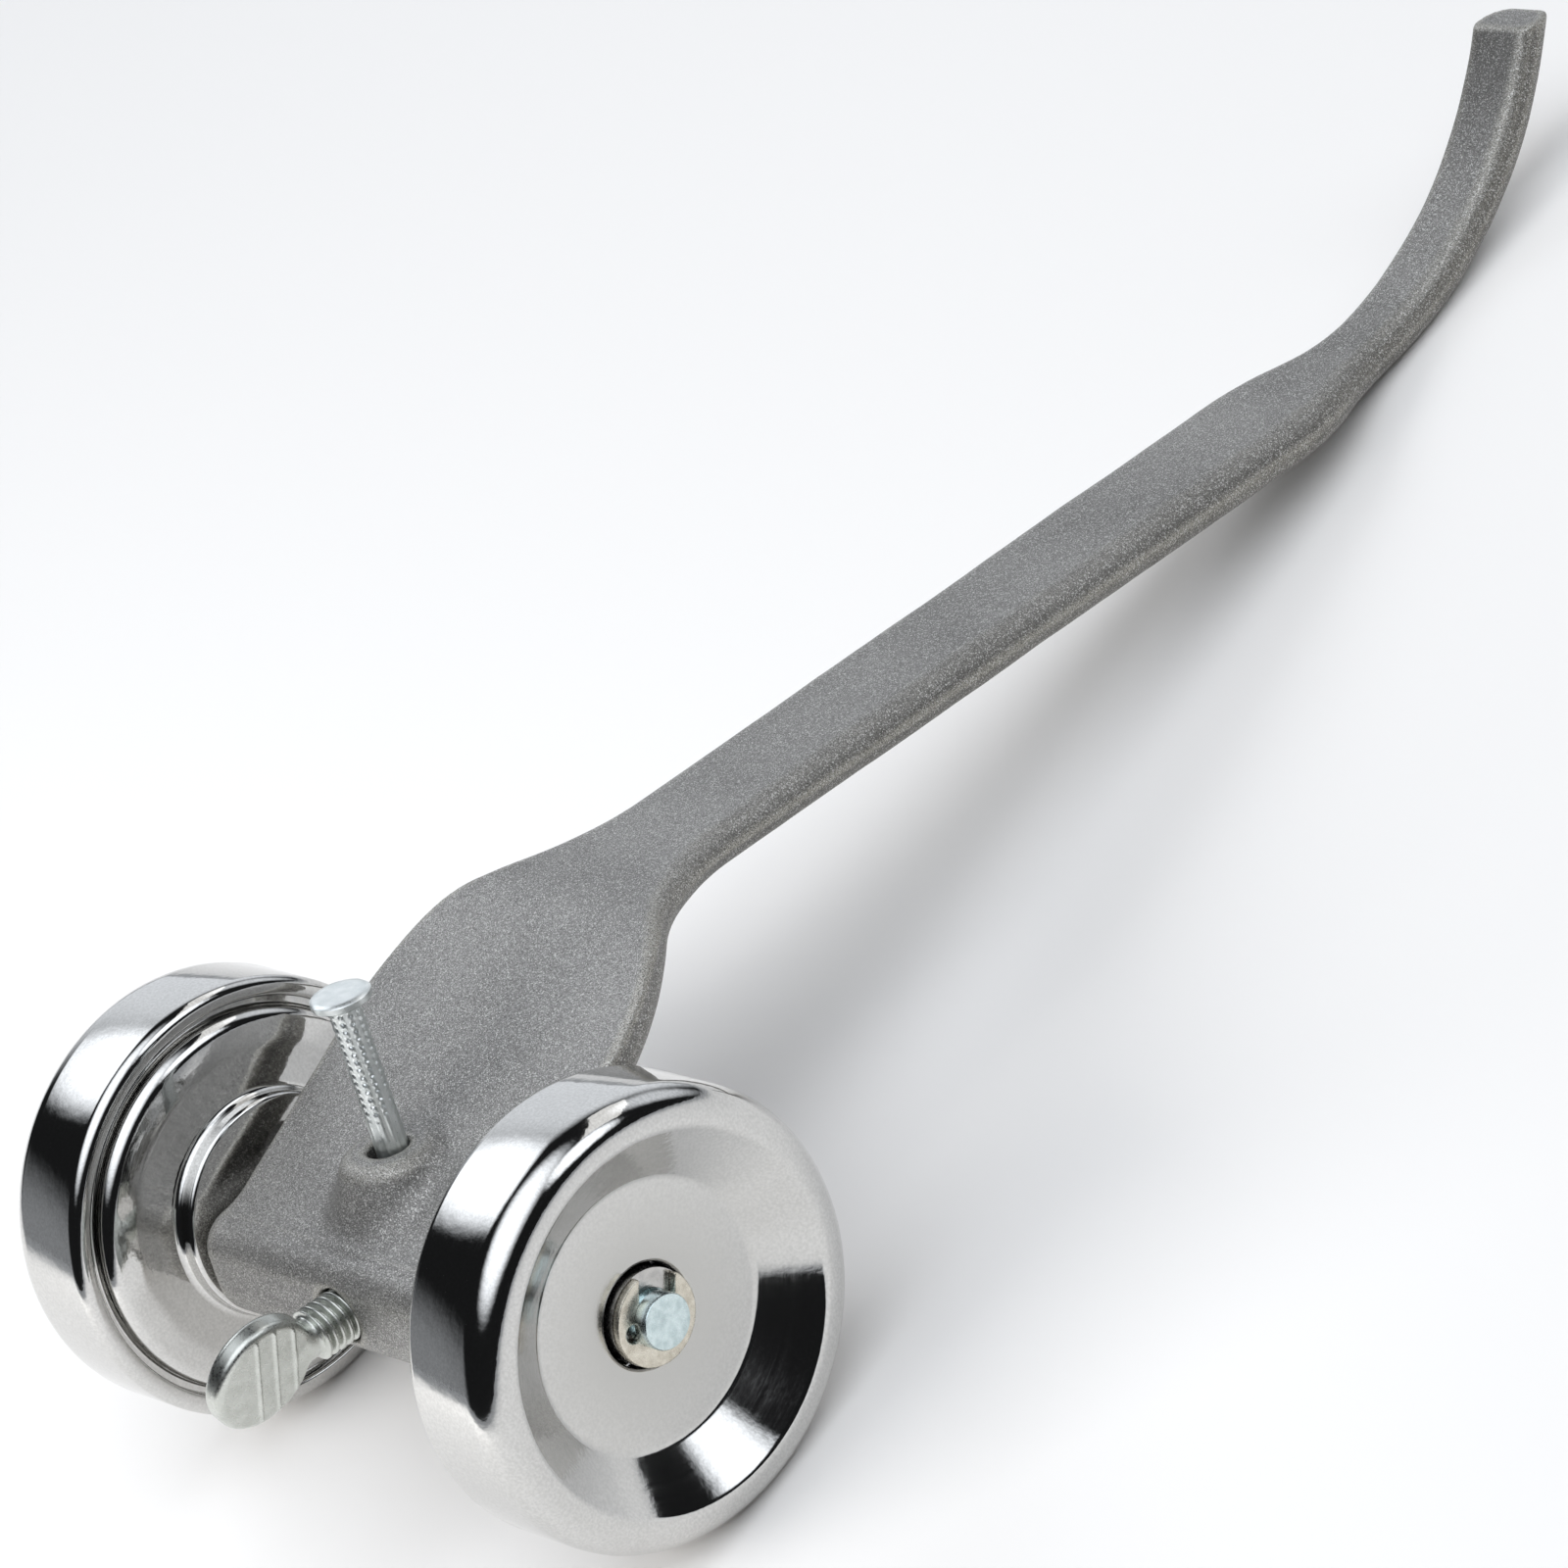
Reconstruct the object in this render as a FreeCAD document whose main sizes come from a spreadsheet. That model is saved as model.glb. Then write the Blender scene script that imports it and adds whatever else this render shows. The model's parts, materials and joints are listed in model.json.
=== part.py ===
import FreeCAD, Part
import math
import os

import Sketcher

# Wheeled mortar raker: a cast handle rolls on two pressed-steel skate wheels, and a
# masonry nail, clamped by a thumb screw, rakes the joint between two bricks.
#
# Every piece is drawn in the tool frame: origin on the axle line, midway between the
# wheels, +X along the axle, +Y back along the handle, +Z up along the nail.  The last
# step sets each piece down at rest: both wheels and the bend of the handle touch the
# floor at Z = 0, and the frame's origin is on the floor below the axle's middle.

# Driving dimensions: millimetres, and degrees where the name says angle.
DRIVING = {
    # wheels
    "wheel_radius": 24.3,
    "lip_plane": 41.8,
    "lip_radius": 20.8,
    "lip_round": 1.6,
    "lip_drop": 0.65,
    "lip_step": 1.3,
    "bevel_offset": 0.6,
    "lip_offset": 0.25,
    "disc_radius": 14.2,
    "disc_plane": 37.3,
    "sheet": 1.2,
    "hub_hole_radius": 5.6,
    "crimp_plane": 28.7,
    "crimp_round": 1.4,
    "crimp_radius": 22.1,
    "cover_rim_radius": 23.0,
    "dome_plane": 27.7,
    "dome_radius": 19.7,
    "dome_round": 1.8,
    "boss_root_plane": 26.7,
    "boss_radius": 12.4,
    "boss_plane": 24.35,
    "boss_round": 1.2,
    # ball bearing in each wheel
    "ball_radius": 2.5,
    "ball_count": 7,
    "ball_pitch_radius": 7.0,
    "ball_plane": 31.0,
    "groove_radius": 2.6,
    "outer_race_bore_radius": 8.6,
    "inner_race_radius": 5.1,
    "inner_race_bore_radius": 3.05,
    "inner_race_start": 23.9,
    "inner_race_end": 37.9,
    # axle pins and their retaining clips
    "pin_radius": 3.0,
    "pin_start": 6.0,
    "pin_end": 40.6,
    "pin_chamfer": 0.25,
    "pin_groove_radius": 2.5,
    "clip_thickness": 0.9,
    "clip_play": 0.05,
    "clip_radius": 5.1,
    "clip_opening": 4.6,
    "clip_opening_angle": 69.0,
    "clip_relief_place": 3.2,
    "clip_relief_radius": 0.95,
    "clip_relief_turn": 110.0,
    # cast handle: front block round the axle
    "block_front": 12.4,
    "block_half_width": 23.8,
    "block_bottom": 7.6,
    "block_back": 8.0,
    "block_end_top": 6.0,
    "block_end_round": 1.2,
    "block_lower_round": 5.0,
    "nose_depth": 3.9,
    # cast handle: fan plate, straight grip and bent tip
    "fan_half_width": 21.8,
    "fan_height": 9.5,
    "fan_slope_angle": 29.3,
    "fan_thickness": 5.0,
    "fan_bend_start": 26.0,
    "fan_bend_radius": 18.0,
    "fan_taper_start": 14.0,
    "fan_taper_end": 48.0,
    "grip_half_width": 9.2,
    "grip_slope_angle": 2.4,
    "shoulder_start": 139.0,
    "shoulder_end": 162.0,
    "tip_half_width": 4.5,
    "tip_bend_start": 153.0,
    "tip_bend_radius": 48.7,
    "tip_thickness": 5.2,
    "tip_height": 56.0,
    "top_edge_round": 0.9,
    "under_edge_round": 2.2,
    # holes and nail boss in the casting
    "axle_hole_radius": 2.98,
    "nail_hole_radius": 2.3,
    "nail_boss_radius": 5.9,
    "nail_boss_top": 12.4,
    "nail_boss_round": 0.9,
    "screw_hole_radius": 3.05,
    # masonry nail
    "nail_offset": 0.5,
    "nail_radius": 1.7,
    "nail_head_radius": 3.4,
    "nail_head_top": 30.5,
    "nail_head_thickness": 1.2,
    "nail_length": 50.0,
    "nail_point_length": 5.0,
    "nail_point_radius": 0.3,
    # thumb screw
    "screw_height": -1.4,
    "screw_radius": 3.0,
    "screw_thread_start": 3.1,
    "screw_thread_end": 16.3,
    "screw_neck_radius": 2.0,
    "screw_neck_end": 18.5,
    "screw_point_end": 1.25,
    "screw_point_radius": 2.1,
    "paddle_centre": 23.4,
    "paddle_radius": 6.5,
    "paddle_thickness": 2.7,
    "paddle_edge_round": 0.9,
    "paddle_angle": 22.7,
}

SIDES = (("left", -1), ("right", 1))
CUTTER_REACH = 260.0

# tolerances for finding edges and points by their place
ON_POINT = 1e-6
ON_SURFACE = 1e-3
NEAR_SURFACE = 0.1
UPRIGHT = 0.95


def derived_dimensions(d):
    """Points where the casting's lines and arcs meet, and the tilt at rest."""
    fan = math.radians(d["fan_slope_angle"])
    grip = math.radians(d["grip_slope_angle"])
    out = {}

    # upper side of the fan plate, from the crease behind the nose to the bend
    out["crease_y"] = -(d["block_front"] - d["nose_depth"])
    out["crease_z"] = d["fan_height"] + out["crease_y"] * math.tan(fan)
    out["nose_z"] = out["crease_z"] - d["nose_depth"]
    out["fan_bend_z"] = d["fan_height"] + d["fan_bend_start"] * math.tan(fan)
    bend = d["fan_bend_radius"]
    out["grip_start_y"] = d["fan_bend_start"] + bend * (math.sin(fan) - math.sin(grip))
    out["grip_start_z"] = out["fan_bend_z"] + bend * (math.cos(grip) - math.cos(fan))

    # upper side of the grip and of the bent tip, cut level at tip_height
    run = d["tip_bend_start"] - out["grip_start_y"]
    out["tip_bend_z"] = out["grip_start_z"] + run * math.tan(grip)
    tip = d["tip_bend_radius"]
    centre_y = d["tip_bend_start"] - tip * math.sin(grip)
    centre_z = out["tip_bend_z"] + tip * math.cos(grip)
    rise = centre_z - d["tip_height"]
    out["tip_end_y"] = centre_y + math.sqrt(tip ** 2 - rise ** 2)

    # underside, one thickness below
    under_tip = tip + d["tip_thickness"]
    out["under_tip_radius"] = under_tip
    out["tip_back_y"] = centre_y + math.sqrt(under_tip ** 2 - rise ** 2)
    out["under_tip_y"] = centre_y + under_tip * math.sin(grip)
    out["under_tip_z"] = centre_z - under_tip * math.cos(grip)
    drop = d["fan_thickness"]
    out["under_bend_radius"] = bend - drop
    out["under_grip_y"] = out["grip_start_y"] - drop * math.sin(grip)
    out["under_grip_z"] = out["grip_start_z"] - drop * math.cos(grip)
    out["under_fan_y"] = d["fan_bend_start"] + drop * math.sin(fan)
    out["under_fan_z"] = out["fan_bend_z"] - drop * math.cos(fan)
    back_drop = out["under_fan_y"] - d["block_back"]
    out["block_back_z"] = out["under_fan_z"] - back_drop * math.tan(fan)

    # the fan narrows to the grip in two equal arcs, and the grip to the tip likewise
    out["fan_mid_y"], out["fan_mid_x"], out["fan_arc"] = s_curve(
        d["fan_taper_start"], d["fan_half_width"], d["fan_taper_end"], d["grip_half_width"]
    )
    out["shoulder_mid_y"], out["shoulder_mid_x"], out["shoulder_arc"] = s_curve(
        d["shoulder_start"], d["grip_half_width"], d["shoulder_end"], d["tip_half_width"]
    )

    # wheel circle and handle bend share one tangent: the floor
    reach = math.hypot(centre_y, centre_z)
    lean = math.asin((under_tip - d["wheel_radius"]) / reach)
    out["rest_angle"] = math.degrees(math.atan2(centre_z, centre_y) - lean)
    return out


def s_curve(start_y, start_x, end_y, end_x):
    """Middle point and radius of two equal tangent arcs between two parallel edges."""
    half_run = (end_y - start_y) / 2
    half_step = (start_x - end_x) / 2
    turn = 2 * math.atan2(half_step, half_run)
    return start_y + half_run, start_x - half_step, half_run / math.sin(turn)


def make_sheet(doc, values):
    """Write every dimension to its own aliased cell."""
    sheet = doc.addObject("Spreadsheet::Sheet", "Dims")
    for row, (alias, value) in enumerate(values.items(), start=1):
        sheet.set(f"A{row}", alias)
        sheet.set(f"B{row}", repr(round(float(value), 6)))
        sheet.setAlias(f"B{row}", alias)
    doc.recompute()
    return sheet


def dim(name):
    return f"Dims.{name}"


def new_body(doc, label):
    body = doc.addObject("PartDesign::Body", label)
    body.Label = label
    return body


def origin_feature(body, role):
    return next(item for item in body.Origin.OriginFeatures if item.Role == role)


def new_sketch(body, name, plane, offset=None):
    """Sketch on one of the body's own origin planes, moved along its normal by offset."""
    sketch = body.newObject("Sketcher::SketchObject", name)
    sketch.AttachmentSupport = [(origin_feature(body, plane), "")]
    sketch.MapMode = "FlatFace"
    if offset:
        sketch.setExpression(".AttachmentOffset.Base.z", offset)
    return sketch


def bind(sketch, constraint, expression):
    index = sketch.addConstraint(constraint)
    sketch.setExpression(f"Constraints[{index}]", expression)


def bind_point(sketch, geometry, point, x_expression, y_expression):
    """Hold one point of a sketch at an x and y that come from the sheet."""
    x_value = float(sketch.evalExpression(x_expression))
    y_value = float(sketch.evalExpression(y_expression))
    bind(sketch, Sketcher.Constraint("DistanceX", -1, 1, geometry, point, x_value), x_expression)
    bind(sketch, Sketcher.Constraint("DistanceY", -1, 1, geometry, point, y_value), y_expression)


def arc_middle(start, end, radius, centre_side):
    """Middle point of the short arc from start to end; centre_side 1 is on the left."""
    chord = end - start
    half = chord.Length / 2
    normal = FreeCAD.Vector(-chord.y, chord.x, 0).normalize()
    sagitta = radius - math.sqrt(radius ** 2 - half ** 2)
    return (start + end) * 0.5 - normal * centre_side * sagitta


def draw_outline(sketch, corners, side=1):
    """Closed outline of lines and arcs, each corner an (x, y) pair of expressions.

    A corner may add an arc to the next corner as (radius expression, centre side).
    With side -1 the outline is mirrored in x.
    """
    sign = "" if side > 0 else "-"
    places = [(f"{sign}({corner[0]})", f"{corner[1]}") for corner in corners]
    points = [
        FreeCAD.Vector(float(sketch.evalExpression(x)), float(sketch.evalExpression(y)), 0)
        for x, y in places
    ]
    first = sketch.GeometryCount
    for index, corner in enumerate(corners):
        start = points[index]
        end = points[(index + 1) % len(points)]
        if len(corner) == 2:
            sketch.addGeometry(Part.LineSegment(start, end))
            continue
        radius = float(sketch.evalExpression(corner[2][0]))
        middle = arc_middle(start, end, radius, corner[2][1] * side)
        sketch.addGeometry(Part.Arc(start, middle, end))
    ends = [outline_ends(sketch, first + index, points[index]) for index in range(len(points))]
    for index, corner in enumerate(corners):
        following = (index + 1) % len(points)
        geometry = first + index
        sketch.addConstraint(
            Sketcher.Constraint(
                "Coincident", geometry, ends[index][1], first + following, ends[following][0]
            )
        )
        bind_point(sketch, geometry, ends[index][0], *places[index])
        if len(corner) == 3:
            radius = float(sketch.evalExpression(corner[2][0]))
            bind(sketch, Sketcher.Constraint("Radius", geometry, radius), corner[2][0])


def outline_ends(sketch, geometry, start):
    """Point numbers (near, far) of a segment, the near one lying at start."""
    if sketch.getPoint(geometry, 1).distanceToPoint(start) < ON_POINT:
        return 1, 2
    return 2, 1


def draw_circle(sketch, x_expression, y_expression, radius_expression):
    centre = FreeCAD.Vector(
        float(sketch.evalExpression(x_expression)),
        float(sketch.evalExpression(y_expression)),
        0,
    )
    radius = float(sketch.evalExpression(radius_expression))
    normal = FreeCAD.Vector(0, 0, 1)
    geometry = sketch.addGeometry(Part.Circle(centre, normal, radius))
    bind_point(sketch, geometry, 3, x_expression, y_expression)
    bind(sketch, Sketcher.Constraint("Radius", geometry, radius), radius_expression)


def pad(body, name, sketch, length, midplane=False):
    feature = body.newObject("PartDesign::Pad", name)
    feature.Profile = sketch
    feature.setExpression("Length", length)
    feature.Midplane = midplane
    sketch.Visibility = False
    return feature


def cut(body, name, sketch, length, midplane=False, reverse=False):
    """Pocket that must remove material: a cut pointing away from the solid is an error."""
    body.Document.recompute()
    before = body.Shape.Volume
    feature = body.newObject("PartDesign::Pocket", name)
    feature.Profile = sketch
    feature.setExpression("Length", length)
    feature.Midplane = midplane
    feature.Reversed = reverse
    body.Document.recompute()
    if body.Shape.Volume >= before:
        raise RuntimeError(f"{body.Label}: {name} removes nothing")
    return feature


def revolve(body, name, sketch, axis):
    feature = body.newObject("PartDesign::Revolution", name)
    feature.Profile = sketch
    feature.ReferenceAxis = (sketch, [axis])
    feature.Angle = 360
    return feature


def fillet(body, name, edges, radius):
    """Round the edges that the test function picks."""
    body.Document.recompute()
    base = body.Tip
    names = [f"Edge{i}" for i, edge in enumerate(base.Shape.Edges, start=1) if edges(edge)]
    feature = body.newObject("PartDesign::Fillet", name)
    feature.Base = (base, names)
    feature.setExpression("Radius", radius)
    body.Document.recompute()
    return feature


# ---------------------------------------------------------------------------
# Cast handle


def handle_casting(doc):
    body = new_body(doc, "handle_casting")

    side_view = new_sketch(body, "SideView", "YZ_Plane")
    draw_outline(side_view, [
        (dim("crease_y"), dim("crease_z")),
        (dim("fan_bend_start"), dim("fan_bend_z"), (dim("fan_bend_radius"), -1)),
        (dim("grip_start_y"), dim("grip_start_z")),
        (dim("tip_bend_start"), dim("tip_bend_z"), (dim("tip_bend_radius"), 1)),
        (dim("tip_end_y"), dim("tip_height")),
        (dim("tip_back_y"), dim("tip_height"), (dim("under_tip_radius"), -1)),
        (dim("under_tip_y"), dim("under_tip_z")),
        (dim("under_grip_y"), dim("under_grip_z"), (dim("under_bend_radius"), 1)),
        (dim("under_fan_y"), dim("under_fan_z")),
        (dim("block_back"), dim("block_back_z")),
        (dim("block_back"), f"{dim('block_lower_round')} - {dim('block_bottom')}",
         (dim("block_lower_round"), -1)),
        (f"{dim('block_back')} - {dim('block_lower_round')}", f"-{dim('block_bottom')}"),
        (f"{dim('block_lower_round')} - {dim('block_front')}", f"-{dim('block_bottom')}",
         (dim("block_lower_round"), -1)),
        (f"-{dim('block_front')}", f"{dim('block_lower_round')} - {dim('block_bottom')}"),
        (f"-{dim('block_front')}", dim("nose_z"), (dim("nose_depth"), -1)),
    ])
    pad(body, "SideForm", side_view, f"2 * {dim('block_half_width')}", midplane=True)

    for name, side in SIDES:
        plan_cut = new_sketch(body, f"PlanCut_{name}", "XY_Plane")
        draw_plan_cut(plan_cut, side)
        cut(body, f"PlanForm_{name}", plan_cut, str(CUTTER_REACH), midplane=True)

        step_cut = new_sketch(body, f"StepCut_{name}", "XZ_Plane")
        draw_step_cut(step_cut, side)
        cut(body, f"StepForm_{name}", step_cut, str(CUTTER_REACH), midplane=True)

    fillet(body, "TopEdges", is_top_edge, dim("top_edge_round"))
    fillet(body, "UnderEdges", is_under_edge, dim("under_edge_round"))
    fillet(body, "BlockEnds", is_block_end, dim("block_end_round"))

    boss = new_sketch(body, "NailBoss", "XY_Plane")
    draw_circle(boss, "0", "0", dim("nail_boss_radius"))
    pad(body, "NailBossForm", boss, dim("nail_boss_top"))
    fillet(body, "NailBossEdge", is_boss_rim, dim("nail_boss_round"))

    axle_hole = new_sketch(body, "AxleHole", "YZ_Plane")
    draw_circle(axle_hole, "0", "0", dim("axle_hole_radius"))
    cut(body, "AxleBore", axle_hole, f"2 * {dim('lip_plane')}", midplane=True)

    nail_hole = new_sketch(body, "NailHole", "XY_Plane")
    draw_circle(nail_hole, "0", "0", dim("nail_hole_radius"))
    cut(body, "NailBore", nail_hole, f"2 * {dim('nail_head_top')}", midplane=True)

    screw_hole = new_sketch(body, "ScrewHole", "XZ_Plane")
    draw_circle(screw_hole, "0", dim("screw_height"), dim("screw_hole_radius"))
    cut(body, "ScrewBore", screw_hole, f"2 * {dim('block_front')}", reverse=True)
    return body


def draw_plan_cut(sketch, side):
    """What is cut away on one side: everything outside the handle's plan outline."""
    far = f"{dim('block_half_width')} + {dim('sheet')}"
    draw_outline(sketch, [
        (dim("fan_half_width"), dim("block_back")),
        (dim("fan_half_width"), dim("fan_taper_start"), (dim("fan_arc"), 1)),
        (dim("fan_mid_x"), dim("fan_mid_y"), (dim("fan_arc"), -1)),
        (dim("grip_half_width"), dim("fan_taper_end")),
        (dim("grip_half_width"), dim("shoulder_start"), (dim("shoulder_arc"), 1)),
        (dim("shoulder_mid_x"), dim("shoulder_mid_y"), (dim("shoulder_arc"), -1)),
        (dim("tip_half_width"), dim("shoulder_end")),
        (dim("tip_half_width"), str(CUTTER_REACH)),
        (far, str(CUTTER_REACH)),
        (far, dim("block_back")),
    ], side)


def draw_step_cut(sketch, side):
    """Above the block's ends only the narrower fan plate is left."""
    far = f"{dim('block_half_width')} + {dim('sheet')}"
    draw_outline(sketch, [
        (dim("fan_half_width"), dim("block_end_top")),
        (far, dim("block_end_top")),
        (far, str(CUTTER_REACH)),
        (dim("fan_half_width"), str(CUTTER_REACH)),
    ], side)


def edge_middle(edge):
    return edge.valueAt((edge.FirstParameter + edge.LastParameter) / 2)


def upper_height_at(y):
    """Height of the casting's upper side at a distance back from the axle."""
    fan = math.radians(VALUES["fan_slope_angle"])
    grip = math.radians(VALUES["grip_slope_angle"])
    if y < VALUES["fan_bend_start"]:
        return VALUES["fan_height"] + y * math.tan(fan)
    if y < VALUES["grip_start_y"]:
        bend = VALUES["fan_bend_radius"]
        run = y - VALUES["fan_bend_start"] - bend * math.sin(fan)
        return VALUES["fan_bend_z"] - bend * math.cos(fan) + math.sqrt(bend ** 2 - run ** 2)
    if y < VALUES["tip_bend_start"]:
        return VALUES["grip_start_z"] + (y - VALUES["grip_start_y"]) * math.tan(grip)
    tip = VALUES["tip_bend_radius"]
    run = min(tip, y - VALUES["tip_bend_start"] + tip * math.sin(grip))
    return VALUES["tip_bend_z"] + tip * math.cos(grip) - math.sqrt(tip ** 2 - run ** 2)


def runs_along_side(edge):
    """A long edge of the fan, grip or tip, behind the front block."""
    middle = edge_middle(edge)
    tangent = edge.tangentAt((edge.FirstParameter + edge.LastParameter) / 2)
    outside = abs(middle.x) > VALUES["tip_half_width"] - NEAR_SURFACE
    behind = middle.y > VALUES["block_back"] + NEAR_SURFACE
    on_cut = middle.z > VALUES["tip_height"] - NEAR_SURFACE
    upright = abs(tangent.z) > UPRIGHT
    return outside and behind and not on_cut and not upright


def is_top_edge(edge):
    middle = edge_middle(edge)
    return runs_along_side(edge) and abs(middle.z - upper_height_at(middle.y)) < NEAR_SURFACE


def is_under_edge(edge):
    return runs_along_side(edge) and not is_top_edge(edge)


def is_block_end(edge):
    return all(abs(abs(v.X) - VALUES["block_half_width"]) < ON_SURFACE for v in edge.Vertexes)


def is_boss_rim(edge):
    middle = edge_middle(edge)
    on_top = abs(middle.z - VALUES["nail_boss_top"]) < ON_SURFACE
    return on_top and edge.Length > VALUES["nail_boss_radius"]


# ---------------------------------------------------------------------------
# Wheels


def wheel_shell(doc, name, side):
    """Outboard pressing: tread, rounded lip, bevel and flat disc, crimped at the back."""
    body = new_body(doc, f"{name}_wheel_shell")
    profile = new_sketch(body, "Profile", "XY_Plane")
    sheet = dim("sheet")
    shoulder = f"{dim('lip_plane')} - ({dim('wheel_radius')} - {dim('lip_radius')})"
    lip_arc = f"{dim('wheel_radius')} - {dim('lip_radius')}"
    inner_lip_arc = f"{lip_arc} - {sheet}"
    bevel_foot = dim("disc_radius")
    draw_outline(profile, [
        (f"{dim('crimp_plane')} + {dim('crimp_round')}", dim("wheel_radius")),
        (shoulder, dim("wheel_radius"), (lip_arc, -1)),
        (dim("lip_plane"), dim("lip_radius"), (dim("lip_round"), -1)),
        (f"{dim('lip_plane')} - {dim('lip_drop')}", f"{dim('lip_radius')} - {dim('lip_step')}"),
        (dim("disc_plane"), bevel_foot),
        (dim("disc_plane"), dim("hub_hole_radius")),
        (f"{dim('disc_plane')} - {sheet}", dim("hub_hole_radius")),
        (f"{dim('disc_plane')} - {sheet}", f"{bevel_foot} + {dim('bevel_offset')}"),
        (f"{dim('lip_plane')} - {sheet}", f"{dim('lip_radius')} - {dim('lip_offset')}",
         (inner_lip_arc, 1)),
        (shoulder, f"{dim('wheel_radius')} - {sheet}"),
        (f"{dim('crimp_plane')} + {sheet}", f"{dim('wheel_radius')} - {sheet}"),
        (f"{dim('crimp_plane')} + {sheet}", dim("crimp_radius")),
        (dim("crimp_plane"), dim("crimp_radius")),
        (dim("crimp_plane"), f"{dim('wheel_radius')} - {dim('crimp_round')}", (dim("crimp_round"), -1)),
    ], side)
    revolve(body, "Spin", profile, "H_Axis")
    return body


def wheel_cover(doc, name, side):
    """Inboard pressing: rim under the crimp, low dome and raised centre boss."""
    body = new_body(doc, f"{name}_wheel_cover")
    profile = new_sketch(body, "Profile", "XY_Plane")
    sheet = dim("sheet")
    rim_plane = f"{dim('crimp_plane')} + {sheet}"
    inner_round = f"{dim('dome_round')} - {sheet}"
    draw_outline(profile, [
        (rim_plane, dim("cover_rim_radius")),
        (rim_plane, f"{dim('dome_radius')} + {dim('dome_round')}"),
        (f"{dim('dome_plane')} + {dim('dome_round')}", f"{dim('dome_radius')} + {dim('dome_round')}",
         (dim("dome_round"), 1)),
        (dim("dome_plane"), dim("dome_radius")),
        (dim("boss_root_plane"), dim("boss_radius")),
        (f"{dim('boss_plane')} + {dim('boss_round')}", dim("boss_radius"), (dim("boss_round"), 1)),
        (dim("boss_plane"), f"{dim('boss_radius')} - {dim('boss_round')}"),
        (dim("boss_plane"), dim("hub_hole_radius")),
        (f"{dim('boss_plane')} + {sheet}", dim("hub_hole_radius")),
        (f"{dim('boss_plane')} + {sheet}", f"{dim('boss_radius')} - {sheet}"),
        (f"{dim('boss_root_plane')} + {sheet}", f"{dim('boss_radius')} - {sheet}"),
        (f"{dim('dome_plane')} + {sheet}", dim("dome_radius"), (inner_round, -1)),
        (f"{dim('dome_plane')} + {dim('dome_round')}", f"{dim('dome_radius')} + {inner_round}"),
        (f"{rim_plane} + {sheet}", f"{dim('dome_radius')} + {inner_round}"),
        (f"{rim_plane} + {sheet}", dim("cover_rim_radius")),
    ], side)
    revolve(body, "Spin", profile, "H_Axis")
    return body


def outer_race(doc, name, side):
    """Ring clamped between the two pressings, with a ball groove in its bore."""
    body = new_body(doc, f"{name}_outer_race")
    profile = new_sketch(body, "Profile", "XY_Plane")
    start = f"{dim('boss_plane')} + {dim('sheet')}"
    end = f"{dim('disc_plane')} - {dim('sheet')}"
    outside = f"{dim('boss_radius')} - {dim('sheet')}"
    bore = dim("outer_race_bore_radius")
    half_groove = (
        f"sqrt(({dim('groove_radius')})^2 - ({bore} - {dim('ball_pitch_radius')})^2)"
    )
    draw_outline(profile, [
        (start, outside),
        (end, outside),
        (end, bore),
        (f"{dim('ball_plane')} + {half_groove}", bore, (dim("groove_radius"), 1)),
        (f"{dim('ball_plane')} - {half_groove}", bore),
        (start, bore),
    ], side)
    revolve(body, "Spin", profile, "H_Axis")
    return body


def inner_race(doc, name, side):
    """Bush on the axle pin, with a ball groove round its outside."""
    body = new_body(doc, f"{name}_inner_race")
    profile = new_sketch(body, "Profile", "XY_Plane")
    outside = dim("inner_race_radius")
    bore = dim("inner_race_bore_radius")
    half_groove = (
        f"sqrt(({dim('groove_radius')})^2 - ({dim('ball_pitch_radius')} - {outside})^2)"
    )
    draw_outline(profile, [
        (dim("inner_race_start"), bore),
        (dim("inner_race_start"), outside),
        (f"{dim('ball_plane')} - {half_groove}", outside, (dim("groove_radius"), 1)),
        (f"{dim('ball_plane')} + {half_groove}", outside),
        (dim("inner_race_end"), outside),
        (dim("inner_race_end"), bore),
    ], side)
    revolve(body, "Spin", profile, "H_Axis")
    return body


def bearing_balls(doc, name, side):
    """One full row of loose balls in the groove."""
    balls = []
    count = int(VALUES["ball_count"])
    for index in range(count):
        ball = doc.addObject("Part::Sphere", f"{name}_ball_{index + 1}")
        ball.setExpression("Radius", dim("ball_radius"))
        turn = f"{index} * 360 deg / {dim('ball_count')}"
        ball.setExpression(".Placement.Base.x", f"{side} * {dim('ball_plane')}")
        ball.setExpression(".Placement.Base.y", f"{dim('ball_pitch_radius')} * cos({turn})")
        ball.setExpression(".Placement.Base.z", f"{dim('ball_pitch_radius')} * sin({turn})")
        balls.append(ball)
    row = doc.addObject("Part::Compound", f"{name}_bearing_balls")
    row.Label = f"{name}_bearing_balls"
    row.Links = balls
    return row


# ---------------------------------------------------------------------------
# Axle pins and clips


def axle_pin(doc, name, side):
    """Stub pin pressed into the casting, chamfered outside and grooved for its clip."""
    body = new_body(doc, f"{name}_axle_pin")
    profile = new_sketch(body, "Profile", "XY_Plane")
    groove_start = dim("inner_race_end")
    groove_end = f"{groove_start} + {dim('clip_thickness')} + 2 * {dim('clip_play')}"
    draw_outline(profile, [
        (dim("pin_start"), "0"),
        (dim("pin_start"), dim("pin_radius")),
        (groove_start, dim("pin_radius")),
        (groove_start, dim("pin_groove_radius")),
        (groove_end, dim("pin_groove_radius")),
        (groove_end, dim("pin_radius")),
        (f"{dim('pin_end')} - {dim('pin_chamfer')}", dim("pin_radius")),
        (dim("pin_end"), f"{dim('pin_radius')} - {dim('pin_chamfer')}"),
        (dim("pin_end"), "0"),
    ], side)
    revolve(body, "Spin", profile, "H_Axis")
    return body


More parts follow.
